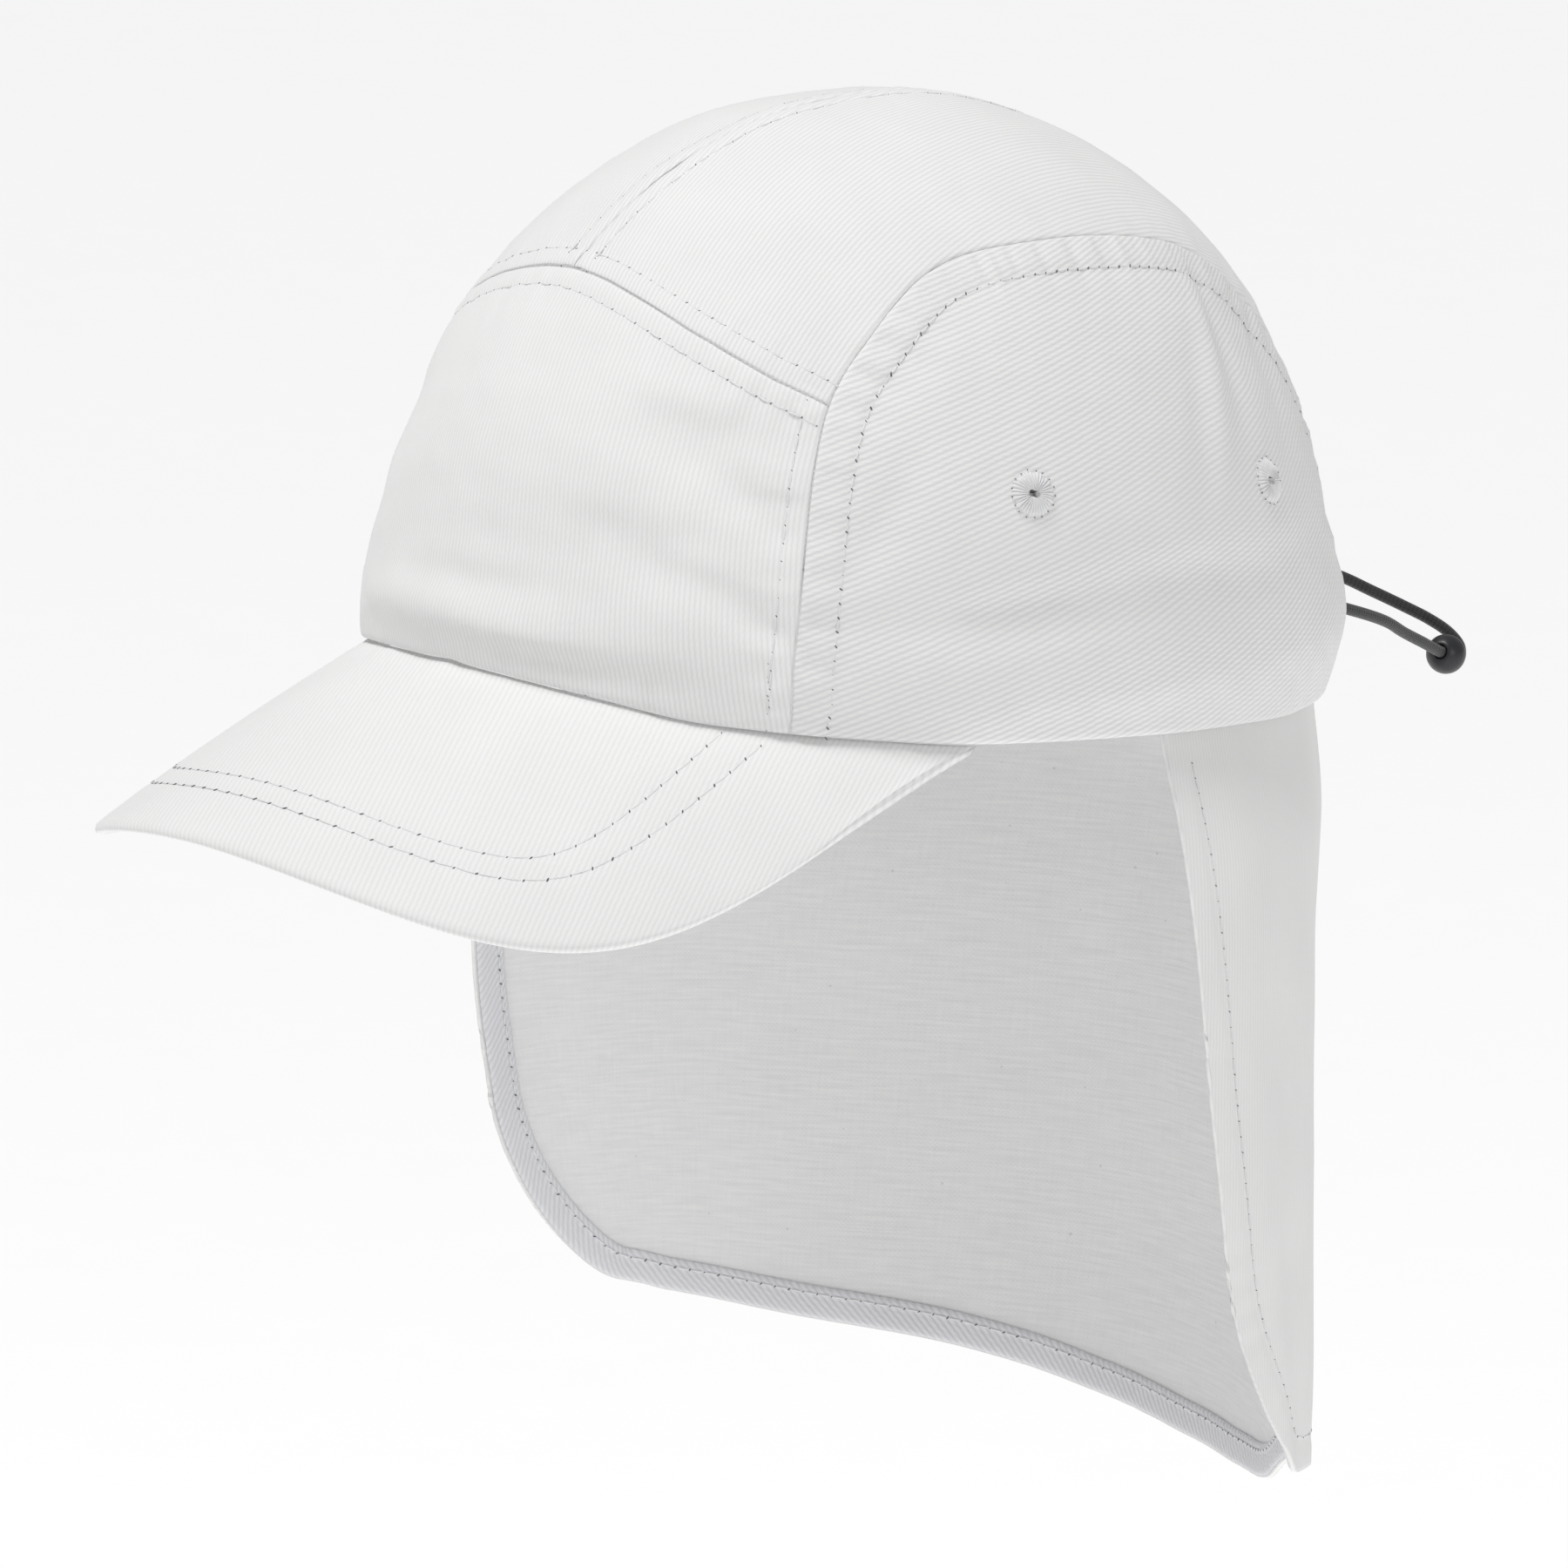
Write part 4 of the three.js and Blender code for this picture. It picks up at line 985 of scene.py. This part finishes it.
# Twill of each piece: name, angle of the ribs on the flat cut, their pitch, relief, contrast.
# The front and the brim look almost smooth, the sides show clear slanted ribs.
TWILLS = {
    "front": ("Cotton twill, front panel", 99, 1.05, 0.05, 0.30),
    "top": ("Cotton twill, top panels", 107, 1.1, 0.06, 0.38),
    "side_left": ("Cotton twill, left side", 20, 1.15, 0.085, 0.46),
    "side_right": ("Cotton twill, right side", 160, 1.15, 0.085, 0.46),
    "brim": ("Cotton twill, brim cover", 121, 1.2, 0.045, 0.26),
    "flap": ("Cotton twill, flap", 100, 0.95, 0.03, 0.20),
    "facing": ("Cotton twill, hem facing", 40, 1.1, 0.12, 0.55),
}
FACING_TONES = ("#e4e4e7", "#c0c0c4")
# Grained finishes: name, light, dark, roughness, grains to the metre, relief, other values.
# Thread has a soft sheen, holes are small grey shadows, rubber has a dull black gleam, and
# the paper glows a little so that the floor comes out white.
GRAINS = {
    "thread": ("Polyester sewing thread", "#f4f4f4", "#d8d8da", 0.6, 9000, 0.05,
               {"Sheen_Weight": 0.2}),
    "hole": ("Shadowed needle hole in cotton", "#77777b", "#5c5c60", 1.0, 5000, 0.02, {}),
    "ball": ("Satin black rubber", "#26272b", "#1b1c1f", 0.38, 1800, 0.012, {}),
    "floor": ("Matt white paper", "#fcfcfc", "#f8f8f8", 0.95, 30, 0.0,
              {"Emission_Color": linear("#ffffff"), "Emission_Strength": 0.51}),
}
_made = {}


def look(key):
    """The materials of the cap, made when first asked for."""
    if key in _made:
        return _made[key]
    cloth = bpy.context.scene.cap_colours
    light, dark = hex_of(cloth.twill_light), hex_of(cloth.twill_dark)
    if key in TWILLS:
        tones = FACING_TONES if key == "facing" else (light, dark)
        _made[key] = twill(TWILLS[key][0], *tones, *TWILLS[key][1:])
    elif key == "lining":
        _made[key] = plain_weave("Plain-weave cotton, inner side", light, "#d2d2d5")
    elif key == "cord":
        _made[key] = braided("Braided polyester elastic", "#2b2c2f", "#08090a")
    else:
        _made[key] = speckled(*GRAINS[key])
    return _made[key]


# Pieces

def panel_named(name):
    if "panels" not in _made:
        _made["panels"] = {panel.name: panel for panel in crown_panels()}
    return _made["panels"][name]


def make_panel(name, key):
    panel = panel_named(name)
    wide, tall = panel.size
    length = 190.0 if "top" in name else 90.0
    us = edge_rows(wide, 110.0 if name == "front_panel" else 120.0)
    vs = edge_rows(tall, length)
    pull = SEAM_GAP / 2 / np.array([110.0, length])

    def chart_of(u, v):
        return panel.place(pull[0] + (1 - 2 * pull[0]) * u, pull[1] + (1 - 2 * pull[1]) * v)

    bm = cloth_grid(us, vs, lambda u, v: panel.dress(chart_of(u, v))[0],
                    lambda u, v: panel.grain(chart_of(u, v)), lambda p: p)
    cuts = []
    side = 1 if "left" in name else -1
    if "side" in name:
        cuts = [(crown(chart(side * turn, lift)[None])[0], 1.5) for _, turn, lift in EYELETS]
    if "top" in name:
        cuts = [(np.array([side * 20.5, 97.5, 4.0]), 2.3)]
    for centre, radius in cuts:
        spot = Vector(centre * MM)
        gone = [f for f in bm.faces if (f.calc_center_median() - spot).length < radius * MM]
        bmesh.ops.delete(bm, geom=gone, context="FACES")
    piece = thicken(to_object(bm, name + "_cloth", [look(key)]), PANEL_WALL)
    finish_piece(piece, "crown_twill", name)
    threads = bmesh.new()
    for k, row in enumerate(panel.rows):
        points, normals = panel.dress(row.ab)
        sew_part(threads, points, normals, row.pitch, THREAD, row.dark, 31 * k + len(name))
    stitches = to_object(threads, name + "_stitches", [look("thread"), look("hole")])
    finish_piece(stitches, "eyelet_thread")


def sew_part(bm, points, normals, pitch, thread, dark, seed, lie=0.05):
    """Sews into its own mesh and joins it, so that each row keeps its two materials."""
    row = bmesh.new()
    sew(row, points, normals, pitch, thread, dark, seed, lie)
    mesh = bpy.data.meshes.new("row")
    row.to_mesh(mesh)
    row.free()
    bm.from_mesh(mesh)
    bpy.data.meshes.remove(mesh)


BRIM_ROWS = ((19.5, 0.9), (14.3, 1.0))


def brim_row(distance):
    """A row of stitching at a distance from the brim's outer edge."""
    u = np.linspace(0.03, 0.97, 400)
    edge = np.stack([u, np.ones(400)], -1)
    line = shifted(brim_top, edge, distance, -1)
    if line[200, 1] > 1:
        line = shifted(brim_top, edge, distance, 1)
    keep = (line[:, 1] > 0.02) & (line[:, 0] > 0.01) & (line[:, 0] < 0.99)
    return spaced(line[keep], 400)


def brim_dress(uv, rows):
    points, normals = brim_top(uv), brim_normals(uv)
    relief = 0.16 * waves(points, 60, 71) + 0.05 * waves(points, 14, 72)
    for line, depth in rows:
        distance, _ = nearest(points, line)
        relief -= 0.16 * depth * np.exp(-(distance / 0.9) ** 2)
    return points, normals, relief


def make_brim():
    rows = [(spaced(brim_top(brim_row(at)), 400), depth) for at, depth in BRIM_ROWS]
    us = np.concatenate([np.linspace(0, 0.02, 4)[:-1], np.linspace(0.02, 0.98, 150),
                         np.linspace(0.98, 1, 4)[1:]])
    inner = np.array([0.0, 0.02, 0.045])
    body = np.linspace(0.075, 0.90, 44)
    lip = 1 - np.array([0.07, 0.05, 0.035, 0.024, 0.015, 0.008, 0.003, 0.0])
    over = np.concatenate([inner, body, lip])
    loop = np.concatenate([over, over[::-1][1:], over[:1]])
    upper = np.concatenate([np.ones(len(over)), -np.ones(len(over) - 1), np.ones(1)])
    ids = np.arange(len(loop), dtype=float)

    def place(u, k):
        k = k.astype(int)
        v, sign = loop[k], upper[k]
        uv = np.stack([u, v], -1)
        points, normals, relief = brim_dress(uv, rows)
        outer = brim_top(np.stack([u, np.ones_like(u)], -1))
        from_edge = np.linalg.norm(points - outer, axis=1)
        near = np.clip(1 - from_edge / 1.7, 0, 1)
        half = (BRIM_THICKNESS / 2 - 0.35 * np.exp(-from_edge / 9)) * np.sqrt(1 - near ** 2)
        middle = points - normals * (BRIM_THICKNESS / 2)
        half = half + relief * (sign > 0) * np.clip(from_edge / 3, 0, 1)
        return middle + normals * (half * sign)[:, None]

    def flat(u, k):
        v = loop[k.astype(int)]
        p = brim_top(np.stack([u, v], -1))
        x = BRIM_BEND * np.arcsin(np.clip(p[:, 0] / BRIM_BEND, -1, 1))
        return np.stack([x, p[:, 1] / math.cos(BRIM_SLOPE * RAD)], -1)

    bm = cloth_grid(us, ids, place, flat, lambda p: Vector((0, 0, 1)))
    bmesh.ops.remove_doubles(bm, verts=bm.verts[:], dist=1e-6)
    bmesh.ops.holes_fill(bm, edges=[e for e in bm.edges if e.is_boundary], sides=0)
    bmesh.ops.recalc_face_normals(bm, faces=bm.faces[:])
    piece = to_object(bm, "brim_cloth", [look("brim")])
    finish_piece(piece, "brim_twill", "brim")
    threads = bmesh.new()
    for k, (at, depth) in enumerate(BRIM_ROWS):
        uv = brim_row(at)
        points, normals, relief = brim_dress(uv, rows)
        sew_part(threads, points + normals * relief[:, None], normals, 4.45, BRIM_THREAD,
                 depth, 90 + k, 0.02)
    stitches = to_object(threads, "brim_stitches", [look("thread"), look("hole")])
    finish_piece(stitches, "eyelet_thread")


def flap_relief(sd, edge):
    """Soft hanging folds that grow towards the hem, and the sewn edge."""
    s, drop = sd[..., 0], sd[..., 1]
    fall = np.clip((drop - flap_start(s)) / FLAP_LENGTH, 0, 1.2)
    total = np.zeros_like(s)
    for at, width, lean, depth in FLAP_FOLDS:
        total += depth * np.exp(-((s - at - lean * (fall - 0.5)) / width) ** 2)
    total *= np.clip(fall * 2.2, 0, 1) * np.clip((1 - np.abs(s)) / 0.10, 0.25, 1)
    points = flap(sd)
    distance, along = nearest(points, edge)
    total += 0.12 * waves(points, 26, 41)
    ripple = waves(along[:, None] + 0 * points[:, :1], 7.0, 42)
    total += 0.10 * ripple * np.exp(-(distance / 7) ** 2)
    total -= 0.16 * np.exp(-((distance - 5.4) / 0.8) ** 2)
    total += 0.14 * np.clip((5.2 - distance) / 1.2, 0, 1)
    return points, total


def flap_flat(sd):
    s, drop = sd[..., 0], sd[..., 1]
    return np.stack([FLAP_HALF_CUT * s, -drop], -1)


def flap_area():
    """Area of the flap's flat cut, in square metres: its grid measured cell by cell."""
    s = np.linspace(-1, 1, 81)
    share = np.linspace(0, 1, 31)
    start = flap_start(s) - FLAP_TUCK
    drop = start[None] + (hem_drop(s) - start)[None] * share[:, None]
    p = flap(np.stack([np.broadcast_to(s, drop.shape), drop], -1))
    a, b, c, d = p[:-1, :-1], p[:-1, 1:], p[1:, 1:], p[1:, :-1]
    halves = (np.cross(b - a, c - a), np.cross(c - a, d - a))
    return float(sum(np.linalg.norm(half, axis=-1) for half in halves).sum() / 2) * MM * MM


def make_flap():
    edge_sd = flap_edge_line()
    edge = flap(edge_sd)
    ss = np.sin(np.linspace(-0.5, 0.5, 171) * math.pi)
    tuck = np.array([-FLAP_TUCK, -3.0, -1.0])
    down = np.concatenate([np.linspace(0, 0.93, 80), [0.95, 0.965, 0.978, 0.988, 0.995, 1.0]])
    rows = np.concatenate([tuck - 100, down])

    def sd_of(u, v):
        start = flap_start(u)
        drop = np.where(v < -50, start + v + 100, start + (hem_drop(u) - start) * v)
        return np.stack([u, drop], -1)

    def place(u, v):
        sd = sd_of(u, v)
        points, relief = flap_relief(sd, edge)
        settle = np.clip((sd[:, 1] - flap_start(u)) / 8, 0, 1)
        return points + flap_normals(sd) * (relief * settle)[:, None]

    bm = cloth_grid(ss, rows, place, lambda u, v: flap_flat(sd_of(u, v)),
                    lambda p: Vector((p.x, p.y, 0)))
    piece = to_object(bm, "neck_flap_cloth", [look("flap"), look("lining")])
    thicken(piece, FLAP_WALL, offset=0.0, inner=1)
    finish_piece(piece, "flap_cloth", "neck_flap")
    facing = make_facing(edge_sd, edge)
    threads = bmesh.new()
    line = shifted(flap_open, edge_sd, OUTER_ROW, facing_side(edge_sd))
    keep = slice(3, -3)
    points, relief = flap_relief(line[keep], edge)
    normals = flap_normals(line[keep])
    sew_part(threads, points + normals * (0.52 + relief)[:, None], normals, 3.0,
             FLAP_THREAD, 0.15, 61)
    inner = shifted(flap_open, edge_sd, INNER_ROW, facing_side(edge_sd))[keep]
    points, relief = flap_relief(inner, edge)
    normals = flap_normals(inner)
    sew_part(threads, points + normals * (relief - 1.24)[:, None], -normals, 3.0,
             FLAP_THREAD, 0.6, 62)
    stitches = to_object(threads, "flap_stitches", [look("thread"), look("hole")])
    finish_piece(stitches, "eyelet_thread")
    min(flap_area(), FLAP_CUT[0] * FLAP_CUT[1])


def facing_side(edge_sd):
    """Side of the edge line on which the cloth lies."""
    trial = shifted(flap_open, edge_sd, 5.0, 1)
    middle = len(edge_sd) // 2
    return 1 if trial[middle, 1] < edge_sd[middle, 1] else -1


def make_facing(edge_sd, edge):
    side = facing_side(edge_sd)
    across = np.array([0.35, 0.5, 0.8, 1.3, 2.1, 3.2, 4.2, 4.6, 5.0, 5.7, 6.2, 6.5, 6.7])
    rings = np.stack([shifted(flap_open, edge_sd, float(a), side) for a in across])
    rings[..., 0] = np.clip(rings[..., 0], -0.9995, 0.9995)
    ids = np.arange(len(across), dtype=float)
    steps = np.arange(len(edge_sd), dtype=float)

    def place(u, v):
        sd = rings[v.astype(int), u.astype(int)]
        points, relief = flap_relief(sd, edge)
        at = across[v.astype(int)]
        rounding = (np.clip(1 - (at - across[0]) / 0.9, 0, 1) ** 2
                    + np.clip(1 - (across[-1] - at) / 0.6, 0, 1) ** 2)
        groove = 0.22 * np.exp(-((at - 4.6) / 0.5) ** 2)
        depth = 0.60 + 0.60 - 0.45 * rounding - groove
        return points + flap_normals(sd) * (relief - depth)[:, None]

    length = lengths_of(edge)

    def flat(u, v):
        return np.stack([length[u.astype(int)], across[v.astype(int)]], -1)

    bm = cloth_grid(steps, ids, place, flat, lambda p: Vector((-p.x, -p.y, 0)))
    piece = to_object(bm, "flap_facing_cloth", [look("facing")])
    thicken(piece, FACING_WALL)
    return finish_piece(piece, "facing_twill", "flap_facing")


def make_eyelet(side, name, turn, lift):
    """An eyelet overstitched with threads that run out from its hole."""
    word = "left" if side > 0 else "right"
    ab = chart(side * turn, lift)[None]
    panel = panel_named("side_panel_" + word)
    points, normals = panel.dress(ab)
    rng = np.random.default_rng(int(turn) + side)
    threads = 34
    around = np.linspace(0, 2 * math.pi, threads * 6 + 1)
    steps = np.array([0.0, 0.05, 0.12, 0.22, 0.36, 0.52, 0.68, 0.82, 0.92, 0.98, 1.0, 1.06])
    lengths = rng.uniform(-0.28, 0.22, threads + 1)
    lengths[-1] = lengths[0]
    heights = rng.uniform(-0.06, 0.06, threads + 1)
    heights[-1] = heights[0]

    def place(u, v):
        k = u / (2 * math.pi) * threads
        strand = np.abs(np.sin(k * math.pi)) ** 0.7
        at = np.minimum(np.rint(k).astype(int), threads)
        longer = lengths[np.minimum(np.floor(k).astype(int), threads)]
        far = 4.45 + longer * strand - 0.28 * (1 - strand)
        near = 0.72 + 0.34 * np.cos(u * 2 + 0.7)
        share = np.minimum(v, 1)
        radius = near + (far - near) * share
        dome = 0.92 * np.sin(np.clip(share * 0.93 + 0.10, 0, 1) * math.pi) ** 0.55
        height = dome * (0.74 + 0.26 * strand) + 0.14 * (strand - 0.5) * np.sin(share * math.pi)
        height += heights[at] * dome
        height = np.where(share < 0.04, -1.25, height)
        height = np.where(v > 1, -0.35, height)
        radius = np.where(share < 0.04, near * 0.92, radius)
        return np.stack([radius * np.cos(u), radius * np.sin(u), height], -1)

    bm = cloth_grid(around, steps, place, lambda u, v: np.stack([u, v], -1),
                    lambda p: Vector((0, 0, 1)))
    bmesh.ops.remove_doubles(bm, verts=bm.verts[:], dist=1e-7)
    # The bore is capped, and the bore and its cap take the grey hole material: painted shade in the
    # eyelet's hole.
    inner = [e for e in bm.edges if e.is_boundary and e.verts[0].co.z < -1.0 * MM]
    bmesh.ops.holes_fill(bm, edges=inner, sides=0)
    for face in bm.faces:
        if face.calc_center_median().z < -0.1 * MM and face.calc_center_median().length < 0.9 * MM:
            face.material_index = 1
    # Grey dots round the edge are painted shade in the needle holes.
    shade_dot = bead(6, 4, False)
    for k in range(0, threads, 2):
        angle, far = (k + rng.uniform(-0.2, 0.2)) / threads * 2 * math.pi, rng.uniform(4.45, 4.75)
        spot = Matrix.Translation(Vector((far * math.cos(angle), far * math.sin(angle), 0.10)) * MM)
        before = len(bm.faces)
        put(bm, shade_dot, spot @ Matrix.Diagonal((0.17 * MM, 0.14 * MM, 0.12 * MM, 1)))
        bm.faces.ensure_lookup_table()
        for face in bm.faces[before:]:
            face.material_index = 1
    bpy.data.meshes.remove(shade_dot)
    seat = frame_on(points[0] * MM, np.cross(normals[0], [0, 0, 1.0]), normals[0])
    bmesh.ops.transform(bm, matrix=seat, verts=bm.verts[:])
    node = f"eyelet_{word}_{name}"
    piece = to_object(bm, node + "_thread", [look("thread"), look("hole")])
    finish_piece(piece, "eyelet_thread", node)


def make_cord():
    path = smooth_line(CORD_POINTS, 8)
    along = lengths_of(path)
    sides = 12
    us = np.arange(len(path), dtype=float)
    vs = np.linspace(0, 1, sides + 1)
    ahead = np.gradient(path, axis=0)
    ahead /= np.linalg.norm(ahead, axis=1, keepdims=True)
    up = np.zeros_like(ahead)
    last = np.array([0.0, 0.0, 1.0])
    for i, way in enumerate(ahead):
        last = last - way * (last @ way)
        last /= np.linalg.norm(last)
        up[i] = last
    aside = np.cross(ahead, up)

    def place(u, v):
        i = u.astype(int)
        angle = 2 * math.pi * v[:, None]
        ring = up[i] * np.cos(angle) + aside[i] * np.sin(angle)
        return path[i] + ring * CORD_DIAMETER / 2

    def flat(u, v):
        return np.stack([along[u.astype(int)], v * math.pi * CORD_DIAMETER], -1)

    bm = cloth_grid(us, vs, place, flat, lambda p: Vector((0, 1, 0)))
    bmesh.ops.remove_doubles(bm, verts=bm.verts[:], dist=1e-7)
    bmesh.ops.holes_fill(bm, edges=[e for e in bm.edges if e.is_boundary], sides=0)
    bmesh.ops.recalc_face_normals(bm, faces=bm.faces[:])
    piece = to_object(bm, "elastic_cord_braid", [look("cord")])
    finish_piece(piece, "cord_elastic", "elastic_cord")
    ball = make_ball(path)


def make_ball(path):
    """The ball: turned round the cord's line, with a hole and a soft lip at each end."""
    at = BALL_ON_CORD * 8
    way = path[at + 2] - path[at - 2]
    radius, bore = BALL_DIAMETER / 2, CORD_DIAMETER / 2 + 0.22
    bm = bmesh.new()
    start = math.asin((bore + 0.35) / radius)
    profile = [(bore, -radius * 0.80), (bore + 0.05, -radius * 0.88)]
    for k in range(17):
        angle = start + (math.pi - 2 * start) * k / 16
        profile.append((radius * math.sin(angle), -radius * math.cos(angle)))
    profile += [(bore + 0.05, radius * 0.88), (bore, radius * 0.80)]
    verts = [bm.verts.new((r * MM, 0, z * MM)) for r, z in profile]
    edges = [bm.edges.new(pair) for pair in zip(verts, verts[1:] + verts[:1])]
    bmesh.ops.spin(bm, geom=verts + edges, cent=(0, 0, 0), axis=(0, 0, 1), dvec=(0, 0, 0),
                   angle=2 * math.pi, steps=40, use_merge=True, use_duplicate=False)
    bmesh.ops.remove_doubles(bm, verts=bm.verts[:], dist=1e-7)
    bmesh.ops.recalc_face_normals(bm, faces=bm.faces[:])
    turn = Vector(way).to_track_quat("Z", "Y").to_matrix().to_4x4()
    place = Matrix.Translation(Vector(path[at] * MM)) @ turn
    bmesh.ops.transform(bm, matrix=place, verts=bm.verts[:])
    piece = to_object(bm, "cord_ball_rubber", [look("ball")])
    return finish_piece(piece, "ball_rubber", "cord_ball")


# Camera, floor and lights

CAMERA_TURN = 52.0
CAMERA_RISE = 12.1
CAMERA_FOCAL = 20579.0 / 1800 * 36


def light(name, place, size, power, target=(0, 0, -0.02)):
    lamp = bpy.data.lights.new(name, "AREA")
    lamp.shape, lamp.size, lamp.energy = "DISK", size, power
    thing = bpy.data.objects.new(name, lamp)
    thing.location = place
    thing.rotation_mode = "QUATERNION"
    thing.rotation_quaternion = (Vector(target) - Vector(place)).to_track_quat("-Z", "Y")
    bpy.context.scene.collection.objects.link(thing)


def make_stage():
    stage = bpy.context.scene.cap_stage
    az, el = CAMERA_TURN * RAD, CAMERA_RISE * RAD
    back = Vector((math.sin(az) * math.cos(el), -math.cos(az) * math.cos(el), math.sin(el)))
    right = Vector((math.cos(az), math.sin(az), 0))
    up = back.cross(right)
    camera = bpy.data.objects.new("camera", bpy.data.cameras.new("camera"))
    camera.data.lens = CAMERA_FOCAL
    camera.data.sensor_width = 36
    camera.data.clip_start, camera.data.clip_end = 0.1, 100
    camera.location = back * stage.camera_distance - right * 0.01326 - up * 0.02325
    camera.rotation_mode = "QUATERNION"
    camera.rotation_quaternion = Matrix((right, up, back)).transposed().to_quaternion()
    bpy.context.scene.collection.objects.link(camera)
    bpy.context.scene.camera = camera
    bm = bmesh.new()
    bmesh.ops.create_grid(bm, x_segments=2, y_segments=2, size=30)
    bmesh.ops.translate(bm, verts=bm.verts[:], vec=(0, 0, -stage.floor_drop))
    to_object(bm, "floor", [look("floor")])
    world = bpy.data.worlds.new("soft studio")
    world.use_nodes = True
    background = world.node_tree.nodes["Background"]
    background.inputs["Color"].default_value = linear("#ffffff")
    background.inputs["Strength"].default_value = stage.sky
    bpy.context.scene.world = world
    light("key light", (-0.12, -0.55, 1.80), 0.7, stage.key)
    light("side light", (1.9, 0.1, 0.6), 0.9, stage.key * 0.22)
    # Whites stay white: the factory view transform would grey the cloth and the floor
    bpy.context.scene.view_settings.view_transform = "Standard"


# Add-on classes

class CapColours(bpy.types.PropertyGroup):
    twill_light: FloatVectorProperty(
        name="Twill light", description="sRGB colour of the raised ribs of the twill",
        default=(0.938, 0.936, 0.934), size=3, min=0, max=1, subtype="COLOR_GAMMA")
    twill_dark: FloatVectorProperty(
        name="Twill dark", description="sRGB colour of the valleys between the ribs",
        default=(0.74, 0.74, 0.755), size=3, min=0, max=1, subtype="COLOR_GAMMA")


class CapStage(bpy.types.PropertyGroup):
    camera_distance: FloatProperty(
        name="Camera distance", description="Distance from the middle of the rim",
        default=3.45, min=1, max=10, unit="LENGTH")
    floor_drop: FloatProperty(
        name="Floor drop", description="How far the floor lies below the rim",
        default=0.7, min=0.2, max=3, unit="LENGTH")
    sky: FloatProperty(
        name="Sky", description="Strength of the even light from all round",
        default=0.40, min=0, max=5)
    key: FloatProperty(
        name="Key light", description="Power of the main light", default=21.0, min=0, max=500,
        unit="POWER")


def operator(idname, label, doc, make):
    """Operator class that runs one maker."""
    def execute(self, context):
        make()
        return {"FINISHED"}

    return type(idname.replace(".", "_OT_").upper(), (bpy.types.Operator,), {
        "bl_idname": idname, "bl_label": label, "__doc__": doc, "execute": execute})


def make_front():
    make_panel("front_panel", "front")


def make_tops():
    for word in ("left", "right"):
        make_panel("top_panel_" + word, "top")


def make_sides():
    for word in ("left", "right"):
        make_panel("side_panel_" + word, "side_" + word)


def make_eyelets():
    for side in (1, -1):
        for name, turn, lift in EYELETS:
            make_eyelet(side, name, turn, lift)


OPERATORS = [
    operator("cap.stage", "Stage", "Adds the camera, the floor and the lights", make_stage),
    operator("cap.cord", "Cord and ball", "Adds the elastic cord and its ball", make_cord),
    operator("cap.front", "Front panel", "Sews the front panel", make_front),
    operator("cap.tops", "Top panels", "Sews the two top panels", make_tops),
    operator("cap.sides", "Side panels", "Sews the two side panels", make_sides),
    operator("cap.brim", "Brim", "Covers and stitches the brim", make_brim),
    operator("cap.flap", "Neck flap", "Hangs the neck flap and its facing", make_flap),
    operator("cap.eyelets", "Eyelets", "Overstitches the four eyelets", make_eyelets),
]


class CAP_PT_sidebar(bpy.types.Panel):
    """Lists the cap's operators"""
    bl_label = "Legionnaire cap"
    bl_space_type = "VIEW_3D"
    bl_region_type = "UI"
    bl_category = "Cap"

    def draw(self, context):
        column = self.layout.column()
        for group in (context.scene.cap_colours, context.scene.cap_stage):
            for name in group.__annotations__:
                column.prop(group, name)
        for kind in OPERATORS:
            column.operator(kind.bl_idname)


CLASSES = [CapColours, CapStage, *OPERATORS, CAP_PT_sidebar]


def register():
    for kind in CLASSES:
        bpy.utils.register_class(kind)
    bpy.types.Scene.cap_colours = PointerProperty(type=CapColours)
    bpy.types.Scene.cap_stage = PointerProperty(type=CapStage)


def unregister():
    del bpy.types.Scene.cap_stage
    del bpy.types.Scene.cap_colours
    for kind in reversed(CLASSES):
        bpy.utils.unregister_class(kind)


def main():
    register()
    for kind in OPERATORS:
        group, name = kind.bl_idname.split(".")
        getattr(getattr(bpy.ops, group), name)()


if __name__ == "__main__":
    main()
